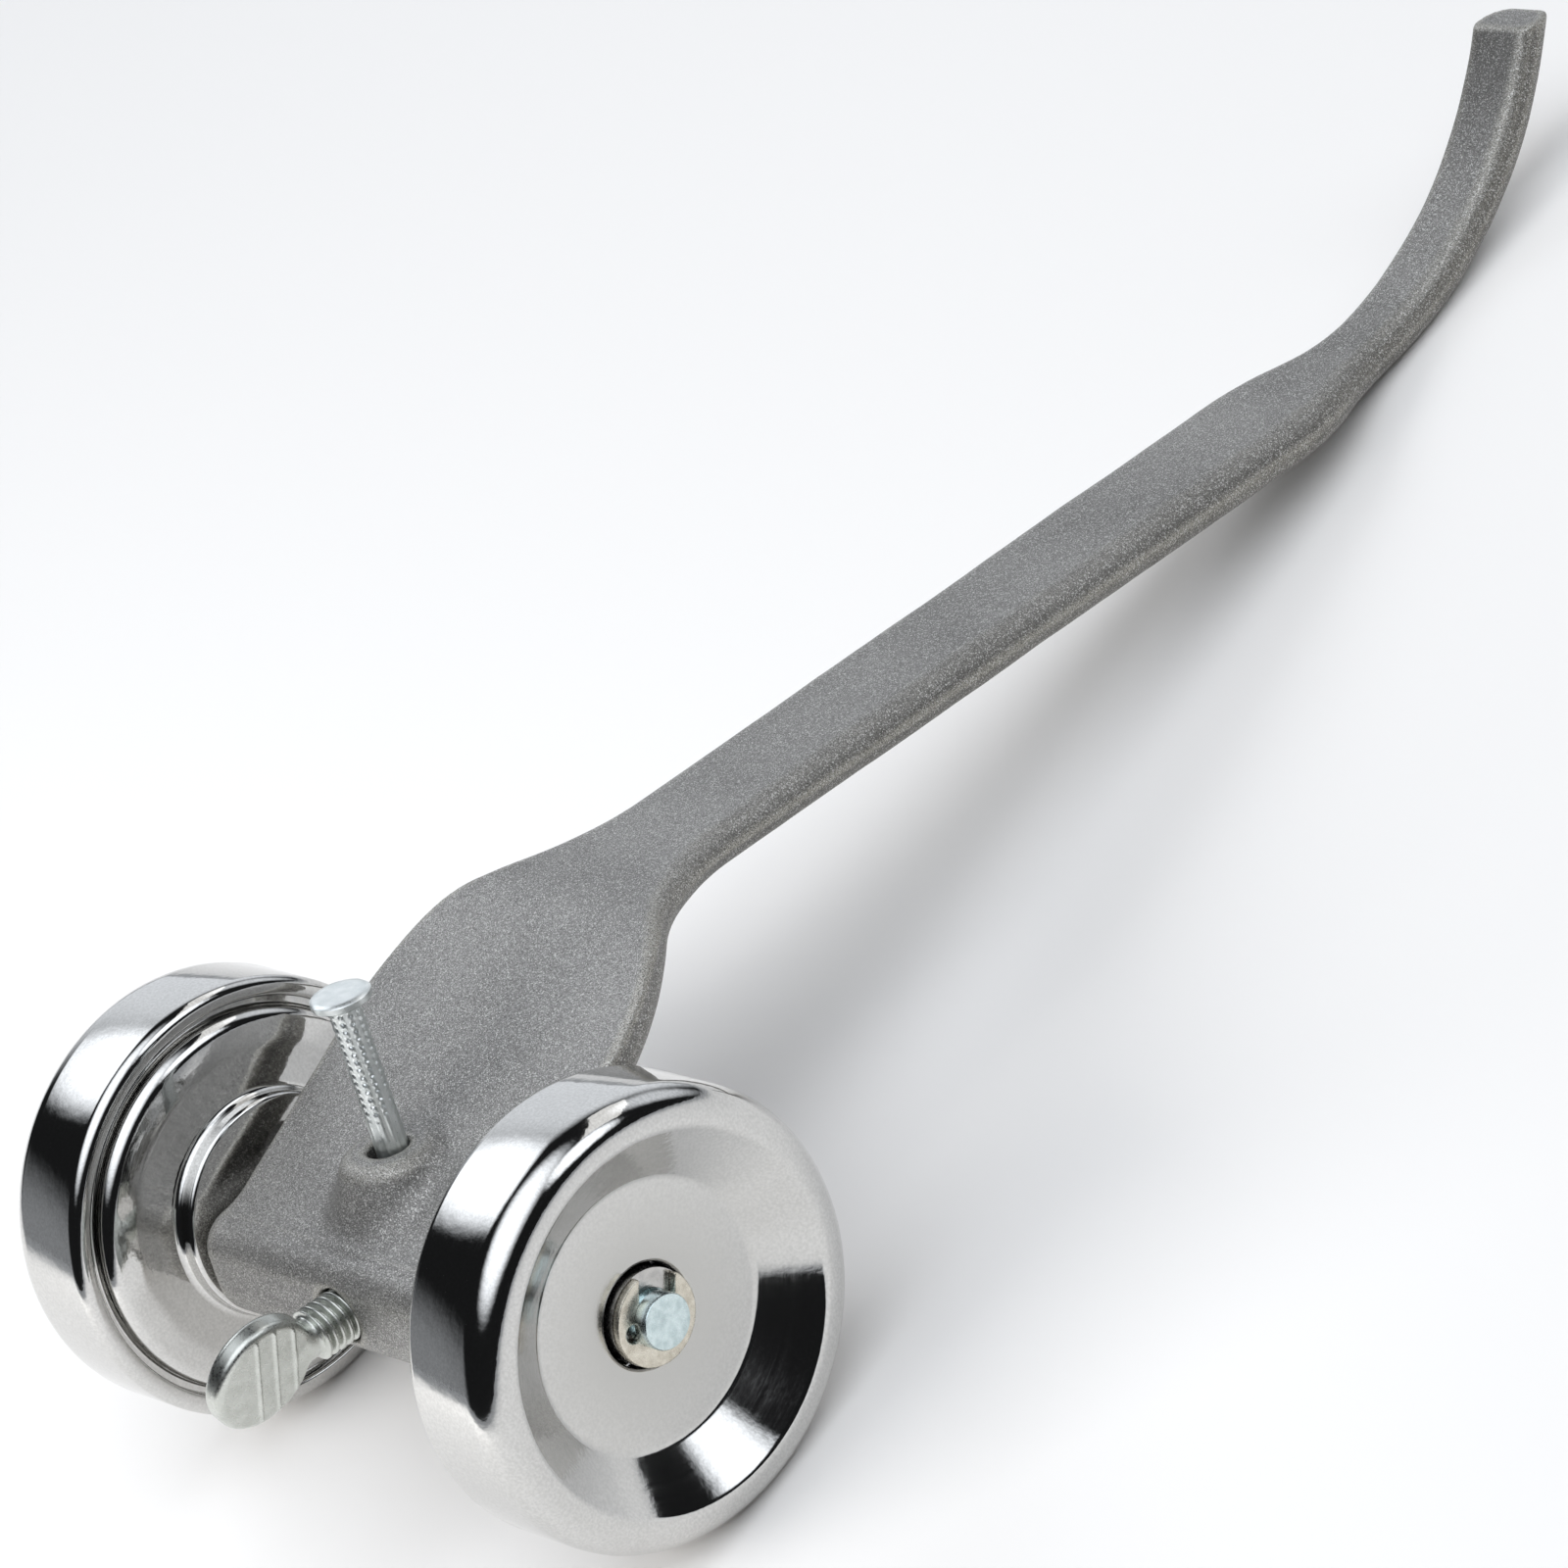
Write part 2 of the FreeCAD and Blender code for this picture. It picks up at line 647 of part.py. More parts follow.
def retaining_clip(doc, name, side):
    """E-shaped clip in the pin's groove: a ring, open on one side, with three prongs."""
    body = new_body(doc, f"{name}_retaining_clip")
    near = f"{dim('inner_race_end')} + {dim('clip_play')}"
    plane = near if side > 0 else f"-({near} + {dim('clip_thickness')})"
    ring = new_sketch(body, "Ring", "YZ_Plane", plane)
    draw_circle(ring, "0", "0", dim("clip_radius"))
    draw_circle(ring, "0", "0", dim("pin_groove_radius"))
    pad(body, "RingForm", ring, dim("clip_thickness"))

    opening = new_sketch(body, "Opening", "YZ_Plane", plane)
    angle = f"{dim('clip_opening_angle')} * 1 deg"
    corners = []
    for along, across in ((0, -0.5), (1, -0.5), (1, 0.5), (0, 0.5)):
        reach = f"{along} * 2 * {dim('clip_radius')}"
        offset = f"{across} * {dim('clip_opening')}"
        corners.append((
            f"({reach}) * cos({angle}) - ({offset}) * sin({angle})",
            f"({reach}) * sin({angle}) + ({offset}) * cos({angle})",
        ))
    draw_outline(opening, corners)
    cut(body, "OpeningCut", opening, dim("clip_thickness"), reverse=True)

    middle = dim("clip_relief_place")
    for index, hand in ((1, 1), (2, -1)):
        relief = new_sketch(body, f"Relief{index}", "YZ_Plane", plane)
        turned = f"({dim('clip_opening_angle')} + {hand} * {dim('clip_relief_turn')}) * 1 deg"
        draw_circle(
            relief,
            f"{middle} * cos({turned})",
            f"{middle} * sin({turned})",
            dim("clip_relief_radius"),
        )
        cut(body, f"ReliefCut{index}", relief, dim("clip_thickness"), reverse=True)
    return body


# ---------------------------------------------------------------------------
# Nail and thumb screw


def depth_nail(doc):
    """Masonry nail, drawn on its own axis."""
    body = new_body(doc, "depth_nail")
    profile = new_sketch(body, "Profile", "XZ_Plane")
    top = dim("nail_head_top")
    head_under = f"{top} - {dim('nail_head_thickness')}"
    tip = f"{top} - {dim('nail_length')}"
    draw_outline(profile, [
        ("0", top),
        (dim("nail_head_radius"), top),
        (dim("nail_head_radius"), head_under),
        (dim("nail_radius"), head_under),
        (dim("nail_radius"), f"{tip} + {dim('nail_point_length')}"),
        (dim("nail_point_radius"), tip),
        ("0", tip),
    ])
    revolve(body, "Spin", profile, "V_Axis")
    return body


def thumb_screw(doc):
    """Screw with an oval paddle, drawn with its axis on Y and the paddle square to X."""
    body = new_body(doc, "thumb_screw")
    profile = new_sketch(body, "Profile", "XY_Plane")
    draw_outline(profile, [
        ("0", f"-{dim('screw_thread_start')}"),
        (dim("screw_radius"), f"-{dim('screw_thread_start')}"),
        (dim("screw_radius"), f"-{dim('screw_thread_end')}"),
        (dim("screw_neck_radius"), f"-{dim('screw_neck_end')}"),
        ("0", f"-{dim('screw_neck_end')}"),
    ])
    revolve(body, "Spin", profile, "V_Axis")

    paddle = new_sketch(body, "Paddle", "YZ_Plane")
    draw_circle(paddle, f"-{dim('paddle_centre')}", "0", dim("paddle_radius"))
    pad(body, "PaddleForm", paddle, dim("paddle_thickness"), midplane=True)
    fillet(body, "PaddleEdge", is_paddle_rim, dim("paddle_edge_round"))
    return body


def is_paddle_rim(edge):
    if edge.Curve.TypeId != "Part::GeomCircle":
        return False
    return abs(edge.Curve.Radius - VALUES["paddle_radius"]) < ON_SURFACE


def thumb_screw_point(doc):
    """Plain round end of the screw, which presses on the nail."""
    body = new_body(doc, "thumb_screw_point")
    profile = new_sketch(body, "Profile", "XY_Plane")
    draw_outline(profile, [
        ("0", f"-{dim('screw_point_end')}"),
        (dim("screw_point_radius"), f"-{dim('screw_point_end')}"),
        (dim("screw_point_radius"), f"-{dim('screw_thread_start')}"),
        ("0", f"-{dim('screw_thread_start')}"),
    ])
    revolve(body, "Spin", profile, "V_Axis")
    return body


# ---------------------------------------------------------------------------
# Assembly


def rest_placement(offset=FreeCAD.Vector(), turn=FreeCAD.Rotation()):
    """Set a piece down at rest: its place in the tool frame, then the lean and the lift."""
    in_tool = FreeCAD.Placement(offset, turn)
    lean = FreeCAD.Rotation(FreeCAD.Vector(1, 0, 0), -VALUES["rest_angle"])
    lift = FreeCAD.Vector(0, 0, VALUES["wheel_radius"])
    return FreeCAD.Placement(lift, lean).multiply(in_tool)


def check(doc, pieces):
    """Stop if any object failed or any piece is null or not valid."""
    for item in doc.Objects:
        if "Invalid" in item.State or "Error" in item.State:
            raise RuntimeError(f"{item.Label} failed: {item.State}")
    for piece in pieces:
        if piece.Shape.isNull() or not piece.Shape.isValid():
            raise RuntimeError(f"{piece.Label} has no valid shape")


VALUES = dict(DRIVING)
VALUES.update(derived_dimensions(DRIVING))

document = FreeCAD.newDocument("mortar_raker")
make_sheet(document, VALUES)

parts = [handle_casting(document)]
for side_name, side_sign in SIDES:
    for make in (axle_pin, retaining_clip, inner_race, bearing_balls, outer_race,
                 wheel_cover, wheel_shell):
        parts.append(make(document, side_name, side_sign))
nail = depth_nail(document)
screw = thumb_screw(document)
screw_point = thumb_screw_point(document)
document.recompute()

screw_axis = FreeCAD.Vector(0, 0, VALUES["screw_height"])
paddle_turn = FreeCAD.Rotation(FreeCAD.Vector(0, 1, 0), VALUES["paddle_angle"])
for part in parts:
    part.Placement = rest_placement()
nail.Placement = rest_placement(FreeCAD.Vector(0, VALUES["nail_offset"], 0))
screw.Placement = rest_placement(screw_axis, paddle_turn)
screw_point.Placement = rest_placement(screw_axis)
parts += [nail, screw, screw_point]
document.recompute()
check(document, parts)

os.makedirs("parts", exist_ok=True)
for part in parts:
    part.Shape.exportStep(f"parts/{part.Label}.step")
    box = part.Shape.BoundBox
    print(f"{part.Label:24s} volume {part.Shape.Volume:9.1f}  "
          f"x {box.XMin:7.2f} {box.XMax:7.2f}  y {box.YMin:7.2f} {box.YMax:7.2f}  "
          f"z {box.ZMin:7.2f} {box.ZMax:7.2f}")
print(f"rest angle {VALUES['rest_angle']:.3f} degrees")
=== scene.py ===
import json
import math

import bpy
import numpy as np
from mathutils import Matrix, Vector, noise


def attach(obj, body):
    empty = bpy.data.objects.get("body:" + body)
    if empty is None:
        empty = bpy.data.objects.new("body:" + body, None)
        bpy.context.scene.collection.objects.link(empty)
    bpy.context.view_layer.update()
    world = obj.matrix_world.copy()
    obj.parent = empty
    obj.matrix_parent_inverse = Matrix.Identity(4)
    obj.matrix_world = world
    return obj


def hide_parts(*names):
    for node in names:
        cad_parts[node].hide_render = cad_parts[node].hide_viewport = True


# Looks of the wheeled mortar raker.  Lengths are millimetres in the tool frame (origin
# on the axle line midway between the wheels, +X along the axle, +Y back along the
# handle, +Z up along the nail) until to_row() sets them down in the frame, in metres.

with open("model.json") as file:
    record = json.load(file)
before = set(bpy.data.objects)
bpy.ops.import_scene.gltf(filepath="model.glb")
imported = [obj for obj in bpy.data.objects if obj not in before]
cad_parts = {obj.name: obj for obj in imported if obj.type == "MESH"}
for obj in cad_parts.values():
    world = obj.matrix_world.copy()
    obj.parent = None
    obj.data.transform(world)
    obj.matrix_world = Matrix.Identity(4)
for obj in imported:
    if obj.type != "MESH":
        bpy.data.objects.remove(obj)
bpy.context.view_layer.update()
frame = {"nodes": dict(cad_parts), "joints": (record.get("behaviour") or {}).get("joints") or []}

MM = 0.001

# ---------------------------------------------------------------------------
# Tool frame and sizes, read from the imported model


def joint(name):
    """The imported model's joint of that name."""
    return next(item for item in frame["joints"] if item["name"] == name)


def tool_matrix():
    """Tool frame to row frame: the nail points down it, the thumb screw forward."""
    up = -Vector(joint("nail_depth")["axis"])
    back = -Vector(joint("screw_travel")["axis"])
    across = back.cross(up)
    matrix = Matrix((across, back, up)).transposed().to_4x4()
    matrix.translation = Vector(joint("right_wheel_spin")["pos_m"])
    return matrix


TOOL = tool_matrix()


def tool_box(node):
    """Lowest and highest corner of a CAD node in the tool frame, in millimetres."""
    to_tool = TOOL.inverted()
    points = np.array([to_tool @ vertex.co for vertex in frame["nodes"][node].data.vertices])
    return points.min(0) / MM, points.max(0) / MM


def to_row(points):
    """Tool-frame millimetres to row-frame metres."""
    turn = np.array(TOOL.to_3x3())
    return np.asarray(points, float) * MM @ turn.T + np.array(TOOL.translation)


casting_low, casting_high = tool_box("handle_casting")
shell_low, shell_high = tool_box("right_wheel_shell")
cover_low, cover_high = tool_box("right_wheel_cover")
pin_low, pin_high = tool_box("right_axle_pin")
clip_low, clip_high = tool_box("right_retaining_clip")
nail_low, nail_high = tool_box("depth_nail")
screw_low, screw_high = tool_box("thumb_screw")
point_low, point_high = tool_box("thumb_screw_point")

# ---------------------------------------------------------------------------
# Meshes

CORNERS = ((0, 0, 0), (0, 0, 1), (0, 1, 0), (0, 1, 1), (1, 0, 0), (1, 0, 1), (1, 1, 0), (1, 1, 1))
# edges turned by more than these angles, in degrees, stay sharp
LATHE_SHARP = 40.0
NET_SHARP = 60.0
CASTING_SHARP = 75.0
# settle() treats a flatter field as if its squared slope were this
LEAST_SLOPE_SQUARED = 0.2


def new_piece(name, points, faces, sharp_angle):
    """Mesh object from tool-frame points, shaded smooth except over sharp edges."""
    mesh = bpy.data.meshes.new(name)
    mesh.from_pydata(to_row(points).tolist(), [], [tuple(face) for face in faces])
    mesh.update()
    mesh.shade_smooth()
    mesh.set_sharp_from_angle(angle=math.radians(sharp_angle))
    piece = bpy.data.objects.new(name, mesh)
    bpy.context.scene.collection.objects.link(piece)
    return piece


def rounded_outline(corners, steps=7):
    """Closed outline of (x, y, radius) corners with every corner rounded to its radius."""
    count = len(corners)
    outline = []
    for index, (x, y, radius) in enumerate(corners):
        corner = Vector((x, y))
        before = (Vector(corners[index - 1][:2]) - corner).normalized()
        after = (Vector(corners[(index + 1) % count][:2]) - corner).normalized()
        half = before.angle(after) / 2
        if radius <= 0:
            outline.append(corner)
            continue
        centre = corner + (before + after).normalized() * radius / math.sin(half)
        start = corner + before * radius / math.tan(half) - centre
        end = corner + after * radius / math.tan(half) - centre
        turn = start.angle_signed(end)
        for step in range(steps + 1):
            angle = -turn * step / steps
            outline.append(centre + Matrix.Rotation(angle, 2) @ start)
    return [(point.x, point.y) for point in outline]


def lathe(name, outline, segments, place, warp=None, closed=True):
    """Spin an outline of (along, radius) points about the local Z axis of place.

    warp(along, radius, angle) may move the points of each ring.  An open outline
    starts and ends on the axis.
    """
    outline = np.array(outline, float)
    angles = np.arange(segments) * 2 * math.pi / segments
    along = np.repeat(outline[:, :1], segments, 1)
    radius = np.repeat(outline[:, 1:], segments, 1)
    turn = np.repeat(angles[None, :], len(outline), 0)
    if warp:
        along, radius = warp(along, radius, turn)
    points = np.stack([radius * np.cos(turn), radius * np.sin(turn), along], -1).reshape(-1, 3)
    rows = len(outline)
    faces = []
    for row in range(rows if closed else rows - 1):
        for column in range(segments):
            after = (column + 1) % segments
            below = (row + 1) % rows
            faces.append((row * segments + column, row * segments + after,
                          below * segments + after, below * segments + column))
    if not closed:
        faces.append(tuple(reversed(range(segments))))
        faces.append(tuple(range((rows - 1) * segments, rows * segments)))
    turn_in = np.array(place.to_3x3())
    points = points @ turn_in.T + np.array(place.translation)
    piece = new_piece(name, points, faces, LATHE_SHARP)
    face_outward(piece)
    return piece


def face_outward(piece):
    """Turn the faces over if the closed mesh is inside out."""
    mesh = piece.data
    mesh.calc_loop_triangles()
    volume = 0.0
    for triangle in mesh.loop_triangles:
        a, b, c = (mesh.vertices[index].co for index in triangle.vertices)
        volume += a.dot(b.cross(c))
    if volume < 0:
        mesh.flip_normals()


def surface_net(field, low, high, step):
    """Mesh the zero level of field(x, y, z) in a box: one vertex in each cell it crosses."""
    low = np.array(low, float)
    counts = np.ceil((np.array(high) - low) / step).astype(int) + 1
    axes = [low[i] + step * np.arange(counts[i]) for i in range(3)]
    value = field(axes[0][:, None, None], axes[1][None, :, None], axes[2][None, None, :])
    inside = value < 0

    corner_sum = np.zeros(counts - 1, np.int8)
    for corner in CORNERS:
        corner_sum += inside[tuple(slice(at, at + count - 1) for at, count in zip(corner, counts))]
    cells = np.argwhere((corner_sum > 0) & (corner_sum < len(CORNERS)))
    index = np.full(counts - 1, -1)
    index[tuple(cells.T)] = np.arange(len(cells))

    total = np.zeros((len(cells), 3))
    hits = np.zeros(len(cells))
    quads = []
    for axis in range(3):
        along = np.eye(3, dtype=int)[axis]
        second = np.eye(3, dtype=int)[(axis + 1) % 3]
        third = np.eye(3, dtype=int)[(axis + 2) % 3]
        for shift in (0 * second, second, third, second + third):
            start = cells + shift
            first_value = value[tuple(start.T)]
            last_value = value[tuple((start + along).T)]
            crossed = (first_value < 0) != (last_value < 0)
            drop = np.where(crossed, first_value - last_value, 1)
            share = np.where(crossed, first_value / drop, 0)
            total += crossed[:, None] * (start + share[:, None] * along)
            hits += crossed
        ahead = [slice(None)] * 3
        behind = [slice(None)] * 3
        ahead[axis], behind[axis] = slice(1, None), slice(None, -1)
        leaving = inside[tuple(behind)]
        edges = np.argwhere(leaving != inside[tuple(ahead)])
        offsets = (second + third, third, 0 * third, second)
        quad = np.stack([index[tuple((edges - offset).T)] for offset in offsets], 1)
        outward = leaving[tuple(edges.T)]
        quad[~outward] = quad[~outward][:, ::-1]
        quads.append(quad)
    points = low + step * total / hits[:, None]
    return points, np.concatenate(quads)


def settle(field, points, reach, rounds=3):
    """Move points along the field's slope until they lie on its zero level."""
    for _ in range(rounds):
        value, slope = field_slope(field, points, reach)
        size = np.maximum((slope ** 2).sum(1), LEAST_SLOPE_SQUARED)
        move = np.clip(value / size, -reach, reach)
        points = points - move[:, None] * slope
    return points


def field_slope(field, points, reach):
    """Value and slope of the field at the points, by central differences."""
    value = field(*points.T)
    slope = np.empty_like(points)
    for axis in range(3):
        shift = np.zeros(3)
        shift[axis] = reach / 4
        slope[:, axis] = (field(*(points + shift).T) - field(*(points - shift).T)) / (reach / 2)
    return value, slope


def net_piece(name, field, low, high, step, place):
    """Piece whose surface is the zero level of a field, set down at place."""
    points, quads = surface_net(field, low, high, step)
    points = settle(field, points, step)
    points = points @ np.array(place.to_3x3()).T + np.array(place.translation)
    return new_piece(name, points, quads.tolist(), NET_SHARP)


# ---------------------------------------------------------------------------
# Fields: negative inside, positive outside, in millimetres


def both(a, b, radius):
    """Inside both a and b, with the shared edge rounded."""
    corner = np.hypot(np.maximum(a + radius, 0), np.maximum(b + radius, 0))
    return np.minimum(np.maximum(a, b) + radius, 0) + corner - radius


def either(a, b, blend):
    """Inside a or b, with a soft fillet of about the blend's width between them."""
    near = np.maximum(blend - np.abs(a - b), 0) / blend
    return np.minimum(a, b) - near ** 2 * blend / 4


def without(a, b, blend):
    """Inside a but not b, with a soft edge."""
    return -either(-a, b, blend)


# ---------------------------------------------------------------------------
# Cast handle

FAN_SLOPE = math.radians(29.3)
GRIP_SLOPE = math.radians(2.4)
FAN_HEIGHT = 9.5
BEND_START = 26.0
BEND_RADIUS = 18.0
TIP_BEND_START = 153.0
TIP_BEND_RADIUS = 48.7
# (y, size) along the handle: thickness, and rounding of the upper and lower edges
THICKNESS = ((0, 4.6), (16, 4.6), (30, 5.0), (42, 4.8), (70, 5.0), (140, 5.3), (160, 5.2))
TOP_ROUND = ((0, 0.7), (25, 1.0), (45, 2.6), (75, 3.0), (140, 3.0), (160, 2.0), (195, 1.6))
UNDER_ROUND = ((0, 1.6), (26, 2.0), (45, 3.2), (80, 2.8), (140, 2.2), (160, 2.6))
FAN_HALF_WIDTH = 21.8
GRIP_HALF_WIDTH = 9.2
TIP_HALF_WIDTH = 4.6
FAN_TAPER = (14.0, 48.0)
SHOULDER = (139.0, 162.0)
BLOCK_HALF_WIDTH = casting_high[0]
BLOCK_FRONT = -casting_low[1]
BLOCK_BACK = 8.0
BLOCK_TOP = 4.7
BLOCK_BOTTOM = -casting_low[2]
BLOCK_END_ROUND = 2.6
TIP_CUT_ROUND = 0.5
NOSE_ROUND = 3.8
LOWER_ROUND = 5.0
CREASE_BLEND = 1.6
BOSS_RADIUS = 5.3
BOSS_FLARE = 0.4
BOSS_TOP = 12.4
BOSS_ROUND = 1.2
BOSS_BLEND = 2.2
NAIL_HOLE_RADIUS = 2.3
SCREW_HEIGHT = (point_low[2] + point_high[2]) / 2
SCREW_HOLE_RADIUS = 3.15
SCREW_HOLE_DEPTH = 3.0
HOLE_EDGE = 0.5
PARTING_RIDGE = 0.1
PARTING_SPREAD = 0.35
CASTING_STEP = 0.45
# uneven skin: how far it sinks, its noise's length, mean, and share and length of its detail
CAST_WAVE = 0.12
CAST_WAVE_LENGTH = 14.0
CAST_WAVE_MEAN = 0.5
CAST_DETAIL = 0.5
CAST_DETAIL_LENGTH = CAST_WAVE_LENGTH / 3
CAST_MARGIN = 1.5
LEAST_SLOPE = 0.1
# convexity, in millimetres, at which an edge gets its full tone: partly wear, partly a painted
# highlight
EDGE_LIFT = 0.03
# span along y over which painted shade grows towards the grip
GRIP_SHADE_SPAN = (28.0, 62.0)


def unit(angle):
    """Direction (y, z) of a line rising backward at an angle."""
    return np.array([math.cos(angle), math.sin(angle)])


def above(angle):
    """Direction (y, z) square to that line, upward."""
    return np.array([-math.sin(angle), math.cos(angle)])


BEND_POINT = np.array([BEND_START, FAN_HEIGHT + BEND_START * math.tan(FAN_SLOPE)])
BEND_CENTRE = BEND_POINT - BEND_RADIUS * above(FAN_SLOPE)
GRIP_POINT = BEND_CENTRE + BEND_RADIUS * above(GRIP_SLOPE)
GRIP_LENGTH = (TIP_BEND_START - GRIP_POINT[0]) / math.cos(GRIP_SLOPE)
TIP_POINT = GRIP_POINT + GRIP_LENGTH * unit(GRIP_SLOPE)
TIP_CENTRE = TIP_POINT + TIP_BEND_RADIUS * above(GRIP_SLOPE)
TIP_CUT = casting_high[2]


def below_line(y, z, point, angle):
    """Depth below the line through point at that angle, and distance along it."""
    depth = (y - point[0]) * math.sin(angle) - (z - point[1]) * math.cos(angle)
    along = (y - point[0]) * math.cos(angle) + (z - point[1]) * math.sin(angle)
    return depth, along


def depth_below_top(y, z):
    """Depth below the upper side of fan, bend, grip and tip, whichever faces the point."""
    fan, before_bend = below_line(y, z, BEND_POINT, FAN_SLOPE)
    grip, along = below_line(y, z, GRIP_POINT, GRIP_SLOPE)
    bend = BEND_RADIUS - np.hypot(y - BEND_CENTRE[0], z - BEND_CENTRE[1])
    tip = np.hypot(y - TIP_CENTRE[0], z - TIP_CENTRE[1]) - TIP_BEND_RADIUS
    behind = np.where(along < 0, bend, np.where(along < GRIP_LENGTH, grip, tip))
    return np.where(before_bend < 0, fan, behind)


def eased_step(y, ends, first, last):
    """Width and slope of an edge that narrows from first to last in two equal arcs."""
    half_run = (ends[1] - ends[0]) / 2
    half_step = (first - last) / 2
    radius = half_run / math.sin(2 * math.atan2(half_step, half_run))
    start = np.clip(y - ends[0], 0, half_run)
    finish = np.clip(ends[1] - y, 0, half_run)
    run = np.minimum(start, finish)
    sag = radius - np.sqrt(radius ** 2 - run ** 2)
    width = np.where(y < ends[0] + half_run, first - sag, last + sag)
    return width, run / np.sqrt(radius ** 2 - run ** 2)


def plate_field(x, y, z):
    """Fan plate, grip and tip: flat above, rounded below."""
    depth = depth_below_top(y, z)
    thickness = np.interp(y, *zip(*THICKNESS))
    fan_width, fan_slope = eased_step(y, FAN_TAPER, FAN_HALF_WIDTH, GRIP_HALF_WIDTH)
    tip_width, tip_slope = eased_step(y, SHOULDER, GRIP_HALF_WIDTH, TIP_HALF_WIDTH)
    middle = (FAN_TAPER[1] + SHOULDER[0]) / 2
    width = np.where(y < middle, fan_width, tip_width)
    slope = np.where(y < middle, fan_slope, tip_slope)
    ridge = PARTING_RIDGE * np.exp(-((depth - thickness * 0.5) / PARTING_SPREAD) ** 2)
    side = (np.abs(x) - width - ridge) / np.sqrt(1 + slope ** 2)
    top = both(-depth, side, np.interp(y, *zip(*TOP_ROUND)))
    under = both(depth - thickness, side, np.interp(y, *zip(*UNDER_ROUND)))
    plate_front = NOSE_ROUND - BLOCK_FRONT
    body = np.maximum(np.maximum(top, under), plate_front - y)
    return both(body, z - TIP_CUT, TIP_CUT_ROUND)


def block_field(x, y, z):
    """Front block: a bar with a round nose and round lower edges, rounded at its ends."""
    front = -BLOCK_FRONT - y
    back = y - BLOCK_BACK
    top = z - BLOCK_TOP
    bottom = -BLOCK_BOTTOM - z
    nose = both(front, top, NOSE_ROUND)
    lower = np.maximum(both(front, bottom, LOWER_ROUND), both(back, bottom, LOWER_ROUND))
    bar = np.maximum(nose, lower)
    return both(bar, np.abs(x) - BLOCK_HALF_WIDTH, BLOCK_END_ROUND)


def casting_field(x, y, z):
    """Plate, block and nail boss in one, with the nail's and the screw's holes."""
    body = either(plate_field(x, y, z), block_field(x, y, z), CREASE_BLEND)
    around = np.hypot(x, y)
    flank = around - BOSS_RADIUS - BOSS_FLARE * np.maximum(BOSS_TOP - z, 0)
    boss = both(flank, np.maximum(z - BOSS_TOP, -z), BOSS_ROUND)
    body = either(body, boss, BOSS_BLEND)
    body = without(body, around - NAIL_HOLE_RADIUS, HOLE_EDGE)
    bore = np.hypot(x, z - SCREW_HEIGHT) - SCREW_HOLE_RADIUS
    return without(body, np.maximum(bore, y + BLOCK_FRONT - SCREW_HOLE_DEPTH), HOLE_EDGE)


def convexity(mesh, rounds=3):
    """How strongly the surface bulges at each vertex, smoothed over its neighbours."""
    count = len(mesh.vertices)
    edges = np.empty(len(mesh.edges) * 2, np.int64)
    mesh.edges.foreach_get("vertices", edges)
    edges = edges.reshape(-1, 2)
    places = np.empty(count * 3)
    mesh.vertices.foreach_get("co", places)
    places = places.reshape(-1, 3)
    normals = np.empty(count * 3, np.float32)
    mesh.vertex_normals.foreach_get("vector", normals)
    normals = normals.reshape(-1, 3)
    neighbours = np.bincount(edges.ravel(), minlength=count)

    def average(values):
        total = np.zeros_like(values)
        np.add.at(total, edges[:, 0], values[edges[:, 1]])
        np.add.at(total, edges[:, 1], values[edges[:, 0]])
        return total / neighbours.reshape((-1,) + (1,) * (values.ndim - 1))

    lift = ((places - average(places)) * normals).sum(1)
    for _ in range(rounds):
        lift = (lift + average(lift)) / 2
    return lift


def store(mesh, name, values):
    """Keep one number per vertex for the materials."""
    attribute = mesh.attributes.new(name, "FLOAT", "POINT")
    attribute.data.foreach_set("value", np.asarray(values, np.float32))


def cast_wave(point):
    """Slow unevenness of the cast skin, from 0 to 1."""
    broad = noise.noise(Vector(point) / CAST_WAVE_LENGTH)
    detail = noise.noise(Vector(point) / CAST_DETAIL_LENGTH)
    return min(max(broad + CAST_DETAIL * detail + CAST_WAVE_MEAN, 0), 1)


def make_casting():
    """Casting with its uneven skin, and the tones of its worn edges with a painted highlight and of
    the painted shade on its sides and grip.
    """
    low = casting_low - CAST_MARGIN
    high = casting_high + CAST_MARGIN
    points, quads = surface_net(casting_field, low, high, CASTING_STEP)
    points = settle(casting_field, points, CASTING_STEP)
    slope = field_slope(casting_field, points, CASTING_STEP)[1]
    slope /= np.maximum(np.linalg.norm(slope, axis=1, keepdims=True), LEAST_SLOPE)
    wave = np.array([cast_wave(point) for point in points])
    points = points - slope * (CAST_WAVE * wave)[:, None]
    piece = new_piece("raker_casting", points, quads.tolist(), CASTING_SHARP)
    lift = convexity(piece.data)
    # edge: worn edges with a painted highlight; side and grip: painted shade, darker on the flanks
    # and towards the grip
    store(piece.data, "edge", np.clip(lift / MM / EDGE_LIFT, 0, 1))
    store(piece.data, "side", slope[:, 0] ** 2)
    store(piece.data, "grip", np.interp(points[:, 1], GRIP_SHADE_SPAN, (0, 1)))
    return piece


# ---------------------------------------------------------------------------
# Wheels, pins and clips

WHEEL_SEGMENTS = 200
SHEET = 1.2
WHEEL_RADIUS = shell_high[2]
LIP_PLANE = shell_high[0]
CRIMP_PLANE = shell_low[0]
LIP_OUTER_ROUND = 3.5
LIP_INNER_ROUND = 1.6
LIP_RADIUS = 20.2
DISC_RADIUS = 14.2
DISC_PLANE = 37.3
DISC_ROUND = 1.4
HUB_HOLE_RADIUS = 5.45
HUB_EDGE_ROUND = 0.55
